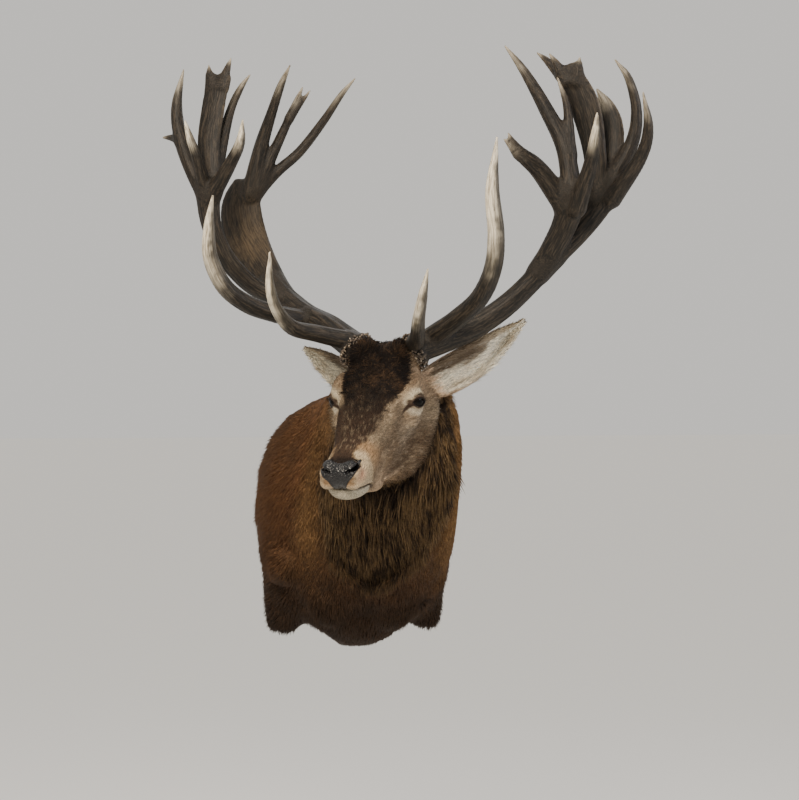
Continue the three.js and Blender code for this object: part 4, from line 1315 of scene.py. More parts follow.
# root and tip colour of the coat at each point
def coatColour(points):
    local = toHead(points)
    side, along, rise = local.T
    x, y, z = points.T
    coarse = noiseAt(points, 55, 3)
    medium = noiseAt(points, 17, 4)
    fine = noiseAt(points, 5, 5)
    # streaks run down the neck and the body
    streak = noiseAt(points * (1, 0.35, 0.22), 7, 6) * 0.6 + noiseAt(points * (1, 0.3, 0.2), 3.2, 7) * 0.4

    colour = np.tile(shades["body"], (len(points), 1))
    colour = paint(colour, 0.5 + 0.5 * coarse, "shoulder")
    colour = paint(colour, smoothStep(170, 260, z + 30 * medium) * 0.7, "back")
    # the lower body is drawn darker downwards to the leg stubs: partly its darker belly hair, partly
    # painted shade where the light falls off
    colour = paint(colour, smoothStep(160, -100, z + 30 * medium) * 0.5, "bellyAndShade")
    colour = paint(colour, smoothStep(-40, -170, z + 30 * medium) * 0.8, "bellyAndShade")
    colour = paint(colour, smoothStep(-150, -235, z) * smoothStep(30, 90, np.abs(x)) * 0.8, "stubAndShade")
    neck = smoothStep(-225, -300, y + 0.15 * z + 12 * medium) * smoothStep(-150, 40, z)
    colour = paint(colour, neck * 0.85, "neck")
    near = smoothStep(-110, -50, x)
    colour = paint(colour, neck * near * smoothStep(0.05, 0.5, streak) * 0.7, "neckStreak")
    colour = paint(colour, neck * smoothStep(85, 150, np.abs(x + 10) + 14 * medium) * 0.75, "neckEdge")
    tip = colour * 1.25
    mane = smoothStep(0.15, 0.7, inMane(points) + 0.12 * medium)
    colour = paint(colour, mane, "mane")
    tip = paint(tip, mane, "maneTip")
    lock = noiseAt(points * (1, 1, 0.5), 6.5, 8)
    tip = paint(tip, mane * smoothStep(-0.1, 0.3, lock) * 0.9, "mane")
    tip = paint(tip, mane * smoothStep(60, -90, z) * 0.5, "mane")

    head = onHead(local, 11)
    lowest = np.interp(along, *jawEdge)
    face = np.tile(shades["cheek"], (len(points), 1))
    face = paint(face, smoothStep(-100, -140, rise + 8 * medium) * 0.9, "jowl")
    face = paint(face, 1.2 * spot(local, (72, 146, -92), (26, 44, 18)) + 0.35 * medium, "cheekGrey")
    face = paint(face, smoothStep(-24, 0, lowest - rise + 26 + 8 * medium) * smoothStep(150, 190, along),
                 "jaw")
    face = paint(face, spot(local, (40, 262, -132), (30, 34, 16)) * 1.1, "jaw")
    face = paint(face, spot(local, (84, 24, -48), (40, 52, 34)) * 1.4 + 0.2 * medium, "earGap")
    face = paint(face, spot(local, (98, 66, -108), (26, 34, 24)) * 1.1, "stripe")
    face = paint(face, spot(local, (90, 66, -82), (22, 12, 7)) * 0.8, "behindEye")
    strands = noiseAt(local * (1, 0.3, 1), 2.6, 13)
    face = paint(face, smoothStep(0.1, 0.5, strands + 0.5 * medium) * 0.45, "behindEye")
    face = paint(face, smoothStep(0.1, 0.5, -strands + 0.5 * fine) * 0.4, "stripe")
    face = paint(face, spot(local, (108, 100, -168), (18, 34, 20)) * 0.8, "neckStreak")
    face = paint(face, smoothStep(225, 262, along) * smoothStep(-105, -60, rise + 5 * medium), "fawn")
    width = np.interp(along, *bridgeWidth)
    width = np.where(side < 0, np.maximum(width, 30 * smoothStep(240, 260, along)), width)
    over = np.abs(side) - width + 4 * medium + 3 * fine
    far = (side < 0) * smoothStep(135, 160, along) * smoothStep(268, 250, along)
    top = smoothStep(-88, -62, rise)
    face = paint(face, top * np.exp(-((over - 8) / 9) ** 2) * smoothStep(258, 225, along)
                 * smoothStep(95, 125, along) * (0.8 + 0.6 * fine), "stripe")
    face = paint(face, top * far * smoothStep(30, 14, over), "bridge")
    muzzle = smoothStep(270, 292, along + 0.3 * (rise + 70) + 6 * medium)
    face = paint(face, muzzle * smoothStep(-2, 6, over), "cream")
    crown = smoothStep(-66, -54, rise)
    face = paint(face, muzzle * crown * smoothStep(5, -3, over), "bridge")
    face = paint(face, crown * smoothStep(5, -3, over) * smoothStep(292, 312, along) * 0.7, "forehead")
    bridge = top * smoothStep(6, -5, over) * smoothStep(292, 270, along)
    face = paint(face, bridge, "bridge")
    dark = bridge * smoothStep(225, 110, along + 22 * medium + 12 * fine)
    face = paint(face, dark * 0.95, "forehead")
    woolly = smoothStep(0.05, 0.45, noiseAt(points, 15, 9) + 0.7 * noiseAt(points, 4, 12))
    face = paint(face, dark * smoothStep(190, 100, along) * woolly * 0.85, "curl")
    face = paint(face, bridge * smoothStep(110, 200, along) * smoothStep(0.1, 0.5, strands) * 0.35,
                 "stripe")
    face = paint(face, 1.2 * spot(local, (36, 328, -66), (11, 14, 10)), "pink")
    line = np.interp(along, mouth["along"], mouth["rise"])
    lipZone = smoothStep(296, 308, along)
    face = paint(face, lipZone * np.exp(-((rise - line - 7) / 6) ** 2), "lip")
    below = smoothStep(0, -3, rise - line)
    face = paint(face, below * spot(local, (42, 300, -113), (16, 9, 12)) * 1.2, "lid")
    face = paint(face, below * smoothStep(306, 316, along + 0.25 * (46 - np.abs(side))), "chin")
    face = paint(face, smoothStep(290, 302, along) * np.exp(-((rise - line) / 2.0) ** 2), "mouth")
    face = paint(face, smoothStep(1.8, 0.8, nostrilDistance(points)), "nosePadSkin")
    for hand in (1, -1):
        look, front, up = eyePlace(points, hand)
        rim = almond(front, up)
        near = smoothStep(-6, 6, look) * (rim < 40)
        rough = rim + 2.5 * medium + 1.5 * fine
        face = paint(face, near * np.exp(-((rough - 13.5) / 5.5) ** 2) * smoothStep(-8, 2, up)
                     * smoothStep(-32, -16, front) * smoothStep(-3, 5, over), "brow")
        face = paint(face, near * np.exp(-((rough - 10) / 7.5) ** 2) * smoothStep(3, -5, up)
                     * smoothStep(-22, -10, front) * smoothStep(46, 26, front), "underEye")
        # a dark band over the upper lid: the lid's own darker skin and painted shade under the brow
        face = paint(face, near * smoothStep(9.5, 5.5, rough) * smoothStep(-1, 3, up) * 0.85, "lid")
        # a dark wedge in front of the eye's front corner: painted shade in that hollow
        face = paint(face, near * smoothStep(5, 2, np.abs(up)) * smoothStep(8, 13, front)
                     * smoothStep(30, 20, front) * 0.8, "lid")
        corner = eyeCentre(hand) + np.array([12, eye["halfLength"], 0]) @ (eyeAxes(hand) @ headAxes)
        flat = (local - toHead(corner))[:, 1:]
        reach = np.array(tearPit["end"][1:]) - toHead(corner)[1:]
        run = np.clip(flat @ reach / (reach @ reach), 0, 1.1)
        away = np.linalg.norm(flat - run[:, None] * reach, axis=1) + 1.2 * fine
        face = paint(face, (side * hand > 40) * smoothStep(4.4, 1.6, away) * smoothStep(1.1, 0.7, run),
                     "tear")
        face = paint(face, near * smoothStep(3.4, 1.6, rim), "mouth")
    colour = colour + (face - colour) * head[:, None]
    tip = tip + (face * 1.3 - tip) * head[:, None]

    ear = earPlace(points)
    inner = np.tile(shades["earIn"], (len(points), 1))
    upper = -ear["across"]
    wisp = noiseAt(np.stack([7 * ear["t"], 9 * ear["across"], 5 * ear["which"]], 1), 1.0, 14)
    inner = paint(inner, smoothStep(0.0, 0.5, wisp + 0.3 * fine) * 0.75, "earShade")
    # the upper side of the inner ear is drawn darker: partly the darker hair along its upper edge, partly
    # painted shade under that edge
    inner = paint(inner, smoothStep(0.3, 0.7, upper + 0.3 * wisp) * 0.9, "earShade")
    inner = paint(inner, np.exp(-((upper - 0.15) / 0.12) ** 2) * smoothStep(0.6, 0.3, ear["t"]) * 0.6,
                  "earShade")
    inner = paint(inner, smoothStep(0.15, 0.6, upper + 0.3 * wisp) * smoothStep(0.75, 0.45, ear["t"])
                  * 0.8, "earBack")
    inner = paint(inner, smoothStep(0.16, 0.08, ear["t"] + 0.05 * wisp), "earGap")
    outer = paint(np.tile(shades["earBack"], (len(points), 1)), smoothStep(0.45, 0.25, ear["t"]),
                  "earGap")
    mixed = inner * ear["inside"][:, None] + outer * (1 - ear["inside"])[:, None]
    mixed = paint(mixed, smoothStep(0.88, 1.0, np.abs(ear["across"])) * 0.5, "earRim")
    colour = colour + (mixed - colour) * ear["share"][:, None]
    tip = tip + (mixed * 1.2 - tip) * ear["share"][:, None]
    shade = (1 + 0.10 * coarse + 0.10 * medium + 0.10 * fine)[:, None]
    return colour * shade * (0.8 - 0.16 * head + 0.2 * ear["share"])[:, None], tip * shade


# which way the hair lies, before it is laid on the skin
def coatFlow(points, normals):
    local = toHead(points)
    side, _, rise = local.T
    x, y, _ = points.T
    flow = np.zeros((len(points), 3))
    back = smoothStep(-330, -120, y)
    flow[:, 1] = 0.25 + 0.7 * back
    flow[:, 2] = -1 + 0.25 * back
    flow[:, 0] = 0.25 * np.sign(x) * smoothStep(0, 120, np.abs(x)) * (1 - back)
    mane = inMane(points)[:, None]
    flow = flow * (1 - mane) + np.array([0, -0.12, -1]) * mane
    head = onHead(local, 20)[:, None]
    face = (-faceAxis + 0.45 * np.sign(side)[:, None] * leftAxis
            * smoothStep(0, 60, np.abs(side))[:, None]
            - 0.35 * faceUp * smoothStep(-40, -110, rise)[:, None])
    flow = unit(flow) * (1 - head) + unit(face) * head
    ear = earPlace(points)
    alongEar = smoothStep(0.55, 0.95, ear["share"])[:, None]
    flow = flow * (1 - alongEar) + ear["axis"] * alongEar
    turn = np.stack([noiseAt(points, 46, 20 + k) for k in range(3)], 1)
    flow = unit(flow) + 0.28 * turn * (1 - 0.6 * head)
    flow = flow - normals * (flow * normals).sum(1)[:, None]
    return unit(flow)


# from 0 to 1 within a few centimetres of an ear
def nearEars(points):
    best = np.zeros(len(points))
    for ear in ears.values():
        base, length, axes = earFrame(ear)
        across, along, out = ((points - base) @ axes.T).T
        best = np.maximum(best, smoothStep(38, 12, earField(across, along, out, length)))
    return best


# a place for each root on an unwrap of the hide: round the body and along it, the head and ears beside it
def unwrap(points):
    local = toHead(points)
    head = onHead(local, 4) > 0.5
    ear = earPlace(points)
    centreX = np.interp(points[:, 1], (-420, -250, -20), (-15, -5, 15))
    centreZ = np.interp(points[:, 1], (-420, -250, -20), (130, 40, 0))
    bodyU = np.arctan2(points[:, 0] - centreX, points[:, 2] - centreZ) / (2 * math.pi) + 0.5
    bodyV = np.clip(((points[:, 2] - points[:, 1]) * 0.5 + 140) / 700, 0, 1)
    headU = np.arctan2(local[:, 0], local[:, 2] + 95) / (2 * math.pi) + 0.5
    headV = np.clip((local[:, 1] + 60) / 430, 0, 1)
    u = np.where(head, 0.64 + 0.34 * headU, 0.01 + 0.6 * bodyU)
    v = np.where(head, 0.01 + 0.6 * headV, 0.01 + 0.97 * bodyV)
    onEar = ear["share"] > 0.5
    u = np.where(onEar, 0.66 + 0.15 * ear["which"] + 0.055 * (ear["across"] + 1) / 1.05, u)
    v = np.where(onEar, 0.64 + 0.16 * ear["t"] + 0.18 * (ear["inside"] > 0.5), v)
    return np.stack([u, v], 1)


# ---- coat: every tuft is a thin closed lock, pointed at both ends, that follows the lie of the hair
coat = {
    # number of tufts and rings, length, width, lift off the skin in degrees, how much they bend and clump
    "muzzleHair": {"count": 24000, "rings": 1, "length": 4.6, "width": 0.9, "lift": 12, "fall": 0.2,
                   "clump": 0},
    "faceHair": {"count": 32000, "rings": 1, "length": 10, "width": 1.2, "lift": 13, "fall": 0.3,
                 "clump": 4,
                 "vary": 0.26},
    "foreheadCurls": {"count": 11000, "rings": 3, "length": 23, "width": 1.5, "lift": 30, "fall": 1.0,
                      "clump": 8,
                      "vary": 0.4},
    "earHair": {"count": 28000, "rings": 1, "length": 13, "width": 1.1, "lift": 12, "fall": 0.3,
                "clump": 5,
                "vary": 0.26},
    "bodyHair": {"count": 32000, "rings": 1, "length": 27, "width": 2.1, "lift": 19, "fall": 0.3,
                 "clump": 7},
    "flankHair": {"count": 32000, "rings": 1, "length": 25, "width": 2.1, "lift": 15, "fall": 0.3,
                  "clump": 7},
    "neckHair": {"count": 16500, "rings": 2, "length": 28, "width": 1.9, "lift": 11, "fall": 0.6,
                 "clump": 5},
    "maneHair": {"count": 16500, "rings": 2, "length": 52, "width": 2.5, "lift": 30, "fall": 0.7,
                 "clump": 11},
}
unwrapPatch = 0.003  # size of one tuft's patch on the unwrap


class Hide:
    def __init__(self, piece):
        self.points = readPoints(piece.data)
        self.normals = readNormals(piece.data)
        self.faces = readTriangles(piece.data)
        a, b, c = [self.points[self.faces[:, k]] for k in range(3)]
        self.areas = 0.5 * np.linalg.norm(np.cross(b - a, c - a), axis=1)
        self.centres = (a + b + c) / 3

    # roots spread evenly over the faces, as thickly as the weight says
    def roots(self, count, weight):
        share = np.cumsum(self.areas * weight)
        pick = (np.arange(count) + rng.random(count)) / count * share[-1]
        face = self.faces[np.minimum(np.searchsorted(share, pick), len(self.faces) - 1)]
        u, v = rng.random(count), rng.random(count)
        flip = u + v > 1
        u, v = np.where(flip, 1 - u, u), np.where(flip, 1 - v, v)
        parts = np.stack([1 - u - v, u, v], 1)[:, :, None]
        return (self.points[face] * parts).sum(1), unit((self.normals[face] * parts).sum(1))


def clumpPull(roots, size):
    if not size:
        return np.zeros_like(roots)
    cell = np.floor(roots / size)
    jitter = np.stack([noiseAt(cell * 7.7 + 0.5, 1.0, 40 + k) for k in range(3)], 1)
    return (cell + 0.5 + 0.45 * jitter) * size - roots


def makeTufts(name, roots, normals, flow, spec, lengths, widths, lifts, slot):
    count, rings = len(roots), spec["rings"]
    lift = np.radians(lifts)[:, None]
    start = flow * np.cos(lift) + normals * np.sin(lift)
    settle = unit(flow - normals * 0.12 + np.array([0, 0, -0.45]) * spec["fall"])
    end = unit(start * (1 - spec["fall"] * 0.7) + settle * spec["fall"] * 0.7)
    pull = clumpPull(roots, spec["clump"])
    pull = pull - normals * (pull * normals).sum(1)[:, None]
    length = lengths[:, None]
    begin = roots - normals * 0.8
    middle = begin + start * length * 0.5 + pull * 0.15
    tip = middle + end * length * 0.5 + pull * 0.65
    points = [begin]
    profile = {1: (0.38,), 2: (0.28, 0.66), 3: (0.22, 0.5, 0.78)}[rings]
    girth = {1: (1.0,), 2: (1.0, 0.8), 3: (0.9, 1.0, 0.75)}[rings]
    for t, wide in zip(profile, girth):
        centre = begin * (1 - t) ** 2 + middle * 2 * t * (1 - t) + tip * t * t
        tangent = unit((middle - begin) * (1 - t) + (tip - middle) * t)
        across = unit(np.cross(tangent, normals))
        out = np.cross(across, tangent)
        half = 0.5 * wide * widths[:, None]
        points += [centre - across * half - out * half * 0.35, centre + across * half - out * half * 0.35,
                   centre + out * half * 0.75]
    points.append(tip)
    per = len(points)
    faces = [(0, 2, 1), (0, 3, 2), (0, 1, 3)]
    for ring in range(rings - 1):
        a, b = 1 + 3 * ring, 4 + 3 * ring
        for k in range(3):
            n = (k + 1) % 3
            faces += [(a + k, a + n, b + n), (a + k, b + n, b + k)]
    a = 1 + 3 * (rings - 1)
    faces += [(a, a + 1, per - 1), (a + 1, a + 2, per - 1), (a + 2, a, per - 1)]
    faces = np.array(faces)
    vertices = np.stack(points, 1).reshape(-1, 3)
    allFaces = (faces[None] + per * np.arange(count)[:, None, None]).reshape(-1, 3)
    piece = makeMesh(name, vertices, allFaces)

    rootColour, tipColour = coatColour(roots)
    shade = (1 + spec.get("vary", 0.18) * rng.standard_normal(count)).clip(0.5, 1.7)[:, None]
    steps = [0.0] + [t for t in profile for _ in range(3)] + [1.0]
    colours = np.stack([(rootColour * (1 - t ** 1.5) + tipColour * t ** 1.5) * shade
                        * (0.7 + 0.3 * min(1, t * 3))
                        for t in steps], 1)
    colours = np.concatenate([colours.reshape(-1, 3), np.ones((count * per, 1))], 1)
    setValues(piece.data, "coat", "FLOAT_COLOR", colours)

    place = unwrap(roots)
    middles = [(s * w, t - 0.5) for t, w in zip(profile, girth) for s in (-0.5, 0.5, 0.0)]
    offsets = [(0, -0.5)] + middles + [(0, 0.5)]
    perVertex = (place[:, None] + unwrapPatch * np.array(offsets)[None]).reshape(-1, 2)
    layer = piece.data.uv_layers.new(name="OFBake")
    layer.data.foreach_set("uv", perVertex[allFaces.ravel()].astype(np.float32).ravel())
    addPiece(piece, slot)
    print(name, count, "tufts,", len(allFaces), "triangles")
    return piece


# the hair of the coat: dry keratin with a soft sheen, each lock a little lighter to its tip
def coatMaterial():
    material, tree, shader = newMaterial("dry stag hair", Roughness=0.7, Specular_IOR_Level=0.16)
    colour = addNode(tree, "ShaderNodeAttribute", {"attribute_name": "coat"}).outputs["Color"]
    place = addNode(tree, "ShaderNodeTexCoord").outputs["Object"]
    noise = addNode(tree, "ShaderNodeTexNoise", links={"Vector": place}, Scale=260.0, Detail=2.0)
    shade = addNode(tree, "ShaderNodeValToRGB", links={"Fac": noise.outputs["Fac"]},
                    stops=[(0.3, "#C4C4C4"), (0.7, "#FFFFFF")]).outputs["Color"]
    shaded = addNode(tree, "ShaderNodeMix", {"data_type": "RGBA", "blend_type": "MULTIPLY"},
                     {0: 1.0, 6: colour, 7: shade}).outputs[2]
    dressSurface(tree, shader, shaded, (noise.outputs["Fac"], 0.3, 0.0004))
    return material


# the hide between the tufts: short flat hair, finely streaked along the way it lies
def hideMaterial():
    material, tree, shader = newMaterial("short haired hide", Roughness=0.85, Specular_IOR_Level=0.12)
    colour = addNode(tree, "ShaderNodeAttribute", {"attribute_name": "coat"}).outputs["Color"]
    flow = addNode(tree, "ShaderNodeAttribute", {"attribute_name": "strand"}).outputs["Vector"]
    noise = addNode(tree, "ShaderNodeTexNoise", links={"Vector": flow}, Scale=1.0, Detail=3.0)
    shade = addNode(tree, "ShaderNodeValToRGB", links={"Fac": noise.outputs["Fac"]},
                    stops=[(0.35, "#8A8A8A"), (0.68, "#FFFFFF")]).outputs["Color"]
    shaded = addNode(tree, "ShaderNodeMix", {"data_type": "RGBA", "blend_type": "MULTIPLY"},
                     {0: 1.0, 6: colour, 7: shade}).outputs[2]
    dressSurface(tree, shader, shaded, (noise.outputs["Fac"], 0.6, 0.0008))
    return material


hideStrand = {"width": 1.1, "length": 9.0}  # millimetres of one streak of the short hair


def paintHide(piece):
    points = readPoints(piece.data)
    root, tip = coatColour(points)
    colours = np.concatenate([root * 0.45 + tip * 0.45, np.ones((len(points), 1))], 1)
    setValues(piece.data, "coat", "FLOAT_COLOR", colours)
    local = toHead(points)
    head = onHead(local, 4)[:, None] > 0.5
    stretched = np.where(head, local * (1, hideStrand["width"] / hideStrand["length"], 1),
                         points * (1, 0.6, 0.3))
    setValues(piece.data, "strand", "FLOAT_VECTOR", stretched / hideStrand["width"])


# where no tuft grows: under the nose pad, in the eyes' openings and along the mouth
def bareZone(points):
    local = toHead(points)
    half = np.interp(local[:, 2], nose["rise"], nose["half"])
    bare = ((local[:, 1] > nose["top"] - 2) & (np.abs(local[:, 0]) < half + 1)
            & (local[:, 2] > nose["foot"] - 1))
    for hand in (1, -1):
        look, front, up = eyePlace(points, hand)
        bare |= (look > 0) & (almond(front, up) < 1.5)
    line = np.interp(local[:, 1], mouth["along"], mouth["rise"])
    bare |= (local[:, 1] > mouth["corner"]) & (np.abs(local[:, 2] - line) < 2.2)
    return bare


wallGap = 19.5  # no tuft grows nearer to the wall, in millimetres


def growCoat():
    hide = Hide(skin)
    centres = hide.centres
    local = toHead(centres)
    side, along, rise = local.T
    ear = earPlace(centres)["share"]
    haired = ~bareZone(centres) & (centres[:, 1] < -wallGap)
    head = onHead(local, 14) * (1 - ear)
    body = (1 - onHead(local, 14)) * (1 - ear)
    mane = smoothStep(0.05, 0.4, inMane(centres))
    neck = (smoothStep(-200, -290, centres[:, 1] + 0.15 * centres[:, 2])
            * smoothStep(-140, -40, centres[:, 2]))
    bridgeHalf = np.interp(along, *bridgeWidth)
    patches = noiseAt(centres, 17, 4)
    curls = smoothStep(185, 90, along + 25 * patches) * smoothStep(-60, -36, rise) * head
    curls = curls * smoothStep(-2, -12, np.abs(side) - bridgeHalf)
    muzzle = smoothStep(215, 245, along)
    upper = centres[:, 2] + 0.2 * centres[:, 1] > 0
    plain = body * (1 - mane) * (1 - neck)
    weights = {
        "muzzleHair": head * muzzle,
        "faceHair": head * (1 - muzzle) * (1 - 0.6 * curls) * (1 + 1.5 * smoothStep(100, 200, along)),
        "foreheadCurls": curls,
        "earHair": ear,
        "bodyHair": plain * upper,
        "flankHair": plain * ~upper,
        "neckHair": body * (1 - mane) * neck,
        "maneHair": body * mane,
    }
    slots = {"muzzleHair": "face_fur", "faceHair": "face_fur", "foreheadCurls": "face_fur",
             "earHair": "ear_fur",
             "neckHair": "mane", "maneHair": "mane"}
    finish = coatMaterial()
    for name, spec in coat.items():
        count = spec["count"] // 1
        roots, normals = hide.roots(count, weights[name] * haired)
        flow = coatFlow(roots, normals)
        scatter = rng.standard_normal((count, 3)) * (0.5 if name == "foreheadCurls" else 0.13)
        flow = unit(flow + scatter - normals * (scatter * normals).sum(1)[:, None])
        lengths = spec["length"] * (0.75 + 0.5 * rng.random(count))
        widths = spec["width"] * (0.8 + 0.4 * rng.random(count)) * 1
        lifts = spec["lift"] * (0.6 + 0.8 * rng.random(count))
        lengths, lifts = fitTufts(name, roots, lengths, lifts)
        piece = makeTufts(name, roots, normals, flow, spec, lengths, widths, lifts,
                          slots.get(name, "coat"))
        piece.data.materials.append(finish)
    for side, hand in (("Left", 1), ("Right", -1)):
        growLashes("lashes" + side, hand).data.materials.append(finish)


lashes = {"count": 30, "rings": 2, "length": 5.5, "width": 0.6, "fall": 0.5, "clump": 0}


# stiff dark lashes along the upper lid
def growLashes(name, hand):
    axes = eyeAxes(hand) @ headAxes
    length, arc = eye["halfLength"], lidArc()
    turn = math.asin(length / arc) * (np.linspace(-0.85, 0.7, lashes["count"])
                                      + 0.03 * rng.random(lashes["count"]))
    front, up = arc * np.sin(turn), arc * np.cos(turn) - arc + eye["halfHeight"]
    out = np.sqrt((eye["radius"] + lidRim["lift"] + 1) ** 2 - front ** 2 - up ** 2)
    roots = eyeCentre(hand) + np.stack([out, front, up], 1) @ axes
    flow = unit(axes[0] + 0.35 * axes[2] + 0.5 * (front / length)[:, None] * axes[1])
    normals = unit(axes[2] - flow * (flow @ axes[2])[:, None])
    size = 0.8 + 0.4 * rng.random(lashes["count"])
    return makeTufts(name, roots, normals, flow, lashes, lashes["length"] * size, lashes["width"] * size,
                     12 * size, "face_fur")


# tufts shorten round the eyes, beside the ears and down the mane, and lengthen inside the ears
def fitTufts(name, roots, lengths, lifts):
    local = toHead(roots)
    if name in ("faceHair", "muzzleHair"):
        for hand in (1, -1):
            away = np.linalg.norm(roots - eyeCentre(hand), axis=1)
            lengths = lengths * (0.38 + 0.62 * smoothStep(24, 46, away))
            lifts = lifts * (0.6 + 0.4 * smoothStep(22, 40, away))
        lengths = lengths * (1 + 0.35 * smoothStep(120, 40, local[:, 1]))
    if name == "foreheadCurls":
        lengths = lengths * (0.45 + 0.55 * smoothStep(170, 60, local[:, 1]))
        lifts = lifts * (0.5 + 0.5 * smoothStep(160, 60, local[:, 1]))
    if name == "earHair":
        ear = earPlace(roots)
        inside = ear["inside"] * smoothStep(0.9, 0.4, ear["t"]) * smoothStep(0.1, 0.25, ear["t"])
        lengths = lengths * (1 + 1.1 * inside) * (1 - 0.4 * smoothStep(0.8, 1, ear["t"]))
        lengths = lengths * (0.4 + 0.6 * smoothStep(0.04, 0.14, ear["t"]))
        lifts = lifts + 14 * inside * rng.random(len(roots))
    if name in ("bodyHair", "neckHair", "maneHair"):
        close = np.maximum(smoothStep(0.02, 0.5, onHead(local, 30)), nearEars(roots))
        lengths = lengths * (1 - (0.8 if name == "maneHair" else 0.6) * close)
        lifts = lifts * (1 - 0.85 * close)
    if name == "neckHair":
        lengths = lengths * (0.8 + 0.5 * smoothStep(0, 1, inMane(roots)))
    if name == "maneHair":
        inner = smoothStep(0.2, 0.95, inMane(roots))
        lengths = lengths * (0.75 + 0.35 * smoothStep(-120, 60, roots[:, 2])) * (0.6 + 0.4 * inner)
        lengths = lengths * (1 - 0.45 * smoothStep(120, 270, roots[:, 2]))
        lifts = lifts * (0.25 + 0.75 * inner)
    if name in ("bodyHair", "neckHair", "maneHair"):
        lifts = lifts * (1 - 0.7 * smoothStep(190, 260, roots[:, 2]))
    if name in ("bodyHair", "flankHair"):
        lengths = lengths * (1 - 0.35 * smoothStep(-170, -230, roots[:, 2]))
    return lengths, lifts


paintHide(skin)
skin.data.materials.append(hideMaterial())
growCoat()


# ---- pearls round each burr: beads of bone scattered over a collar at the foot of the antler
pearls = {
    "count": 420, "small": 1.1, "large": 3.0, "collar": 9.0, "sides": 10, "seed": 7,
    "bone": ((0.35, "#2E251D"), (0.55, "#5C4E3F"), (0.72, "#B9AA92")),
}


def makeCollar(side):
    low, high = [antlerPoint(1 if side == "left" else -1, *p) for p in antler["burrs"][side]]
    axis = unit(high - low)
    across = unit(np.cross(axis, heading))
    other = np.cross(axis, across)
    middle = low + (high - low) * 0.25
    rows = []
    for turn in np.linspace(0, 2 * math.pi, 48, endpoint=False):
        reach = (antler["burrRadius"] - pearls["collar"] * 0.62 + 1.6 * math.sin(5 * turn + 1)
                 + math.sin(11 * turn))
        place = middle + (across * math.cos(turn) + other * math.sin(turn)) * reach
        rows.append((*place, pearls["collar"]))
    return makeMesh("collar", *tubeMesh(rows, pearls["sides"]))


# beads on a surface: count, seed and sizes are inputs of the group
def beadGroup(material):
    group = bpy.data.node_groups.new("beads", "GeometryNodeTree")
    group.interface.new_socket("Geometry", in_out="INPUT", socket_type="NodeSocketGeometry")
    for name, kind in (("Density", "NodeSocketFloat"), ("Smallest", "NodeSocketFloat"),
                       ("Largest", "NodeSocketFloat"), ("Seed", "NodeSocketInt")):
        group.interface.new_socket(name, in_out="INPUT", socket_type=kind)
    group.interface.new_socket("Geometry", in_out="OUTPUT", socket_type="NodeSocketGeometry")
    given = addNode(group, "NodeGroupInput")
    scatter = addNode(group, "GeometryNodeDistributePointsOnFaces", links={
        "Mesh": given.outputs["Geometry"], "Density": given.outputs["Density"],
        "Seed": given.outputs["Seed"]})
    bead = addNode(group, "GeometryNodeMeshIcoSphere", Radius=1.0, Subdivisions=1)
    size = addNode(group, "FunctionNodeRandomValue", {"data_type": "FLOAT"})
    for socket, source in ((size.inputs[2], "Smallest"), (size.inputs[3], "Largest")):
        group.links.new(given.outputs[source], socket)
    group.links.new(given.outputs["Seed"], size.inputs["Seed"])
    place = addNode(group, "GeometryNodeInstanceOnPoints", links={
        "Points": scatter.outputs["Points"], "Instance": bead.outputs["Mesh"],
        "Rotation": scatter.outputs["Rotation"], "Scale": size.outputs[1]})
    real = addNode(group, "GeometryNodeRealizeInstances", links={"Geometry": place.outputs["Instances"]})
    finish = addNode(group, "GeometryNodeSetMaterial", {}, {"Geometry": real.outputs["Geometry"]},
                     Material=material)
    addNode(group, "NodeGroupOutput", links={"Geometry": finish.outputs["Geometry"]})
    return group


def makePearls(name, side, material):
    collar = makeCollar(side)
    modifier = collar.modifiers.new("beads", "NODES")
    modifier.node_group = beadGroup(material)
    area = sum(polygon.area for polygon in collar.data.polygons)
    wanted = {"Density": pearls["count"] / area, "Smallest": pearls["small"] * mm,
              "Largest": pearls["large"] * mm,
              "Seed": pearls["seed"]}
    for item in modifier.node_group.interface.items_tree:
        if item.item_type == "SOCKET" and item.in_out == "INPUT" and item.name in wanted:
            modifier[item.identifier] = wanted[item.name]
    mesh = bakedMesh(collar)
    bpy.data.objects.remove(collar)
    mesh.name = name
    piece = addObject(name, mesh)
    for polygon in mesh.polygons:
        polygon.use_smooth = True
    addPiece(piece, "antler")
    print(name, len(mesh.polygons), "faces")


# bone beads: grey-brown to rubbed pale, in patches at random
def pearlMaterial():
    material, tree, shader = newMaterial("rubbed bone pearls")
    place = addNode(tree, "ShaderNodeTexCoord").outputs["Object"]
    noise = addNode(tree, "ShaderNodeTexNoise", links={"Vector": place}, Scale=160.0, Detail=3.0)
    colour = addNode(tree, "ShaderNodeValToRGB", links={"Fac": noise.outputs["Fac"]},
                     stops=pearls["bone"]).outputs["Color"]
    fine = addNode(tree, "ShaderNodeTexNoise", links={"Vector": place}, Scale=900.0, Detail=2.0)
    dressSurface(tree, shader, colour, (fine.outputs["Fac"], 0.4, 0.0004),
                 (noise.outputs["Fac"], 0.55, 0.3))
    return material


# ---- back board: oiled oak, its grain upright, its front edge rounded over
board = {
    "ring": 9.0, "round": 4.0, "weld": 0.05, "flat": 0.02, "sharp": 0.6,  # millimetres and radians
    "wood": ((0.3, "#4E3420"), (0.5, "#6E4B2E"), (0.7, "#7F5A38")),
    "pores": ((0.36, "#6B5A48"), (0.5, "#FFFFFF")), "stain": ((0.3, "#C7B8A6"), (0.7, "#FFFFFF")),
}


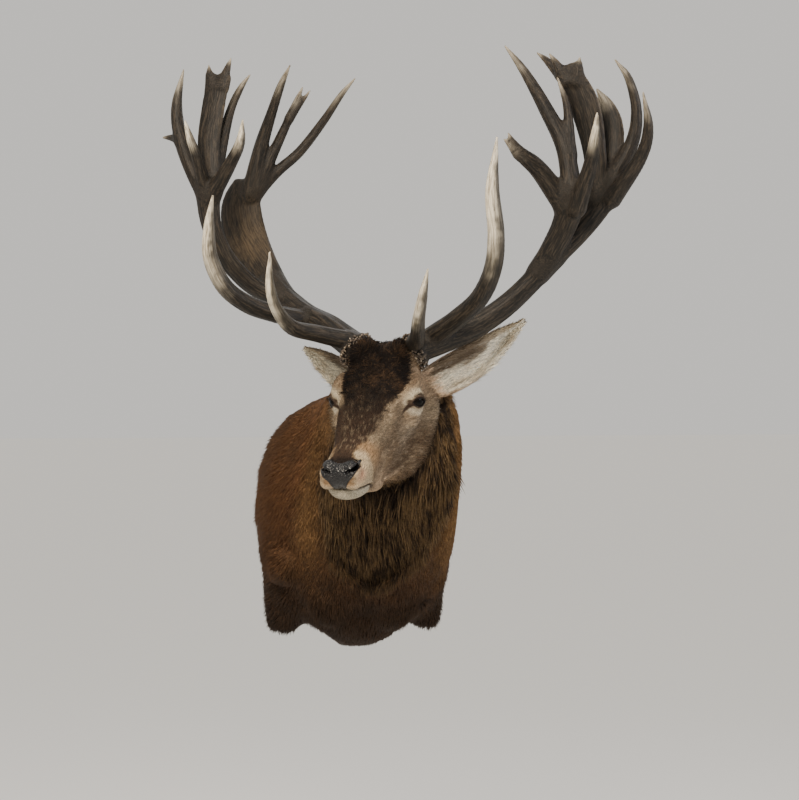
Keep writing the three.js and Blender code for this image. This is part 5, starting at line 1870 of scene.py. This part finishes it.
# oiled oak: brown growth rings drawn out upwards, fine dark pores and an uneven stain
def boardMaterial():
    material, tree, shader = newMaterial("oiled oak board", Coat_Weight=0.12, Coat_Roughness=0.35)
    place = addNode(tree, "ShaderNodeTexCoord").outputs["Object"]
    stretch = addNode(tree, "ShaderNodeMapping", links={"Vector": place}, Scale=(1.0, 1.0, 0.07))
    warp = addNode(tree, "ShaderNodeTexNoise", links={"Vector": stretch.outputs["Vector"]}, Scale=22.0,
                   Detail=5.0)
    grain = addNode(tree, "ShaderNodeTexNoise", links={"Vector": stretch.outputs["Vector"]}, Scale=420.0,
                    Detail=4.0)
    rings = addNode(tree, "ShaderNodeTexNoise", links={"Vector": stretch.outputs["Vector"]},
                    Scale=1000 / board["ring"], Detail=3.0, Distortion=0.6)
    broad = addNode(tree, "ShaderNodeValToRGB", links={"Fac": rings.outputs["Fac"]},
                    stops=board["wood"]).outputs["Color"]
    pores = addNode(tree, "ShaderNodeValToRGB", links={"Fac": grain.outputs["Fac"]},
                    stops=board["pores"]).outputs["Color"]
    stain = addNode(tree, "ShaderNodeValToRGB", links={"Fac": warp.outputs["Fac"]},
                    stops=board["stain"]).outputs["Color"]
    grained = addNode(tree, "ShaderNodeMix", {"data_type": "RGBA", "blend_type": "MULTIPLY"},
                      {0: 1.0, 6: broad, 7: pores}).outputs[2]
    colour = addNode(tree, "ShaderNodeMix", {"data_type": "RGBA", "blend_type": "MULTIPLY"},
                     {0: 1.0, 6: grained, 7: stain}).outputs[2]
    dressSurface(tree, shader, colour, (grain.outputs["Fac"], 0.35, 0.0005),
                 (grain.outputs["Fac"], 0.62, 0.42))
    return material


def makeBoard():
    source = bpy.data.objects["back_board"].data
    made = bmesh.new()
    made.from_mesh(source)
    bmesh.ops.remove_doubles(made, verts=made.verts, dist=board["weld"] * mm)
    bmesh.ops.dissolve_limit(made, angle_limit=board["flat"], verts=made.verts, edges=made.edges)
    edges = [edge for edge in made.edges if edge.is_manifold and edge.calc_face_angle() > board["sharp"]]
    bmesh.ops.bevel(made, geom=edges, offset=board["round"] * mm, segments=3, profile=0.5, affect="EDGES")
    mesh = bpy.data.meshes.new("backBoard")
    made.to_mesh(mesh)
    made.free()
    piece = addObject("backBoard", mesh)
    piece.data.materials.append(boardMaterial())
    addPiece(piece, "board", "back_board")


pearlFinish = pearlMaterial()
makePearls("pearlsLeft", "left", pearlFinish)
makePearls("pearlsRight", "right", pearlFinish)
makeBoard()
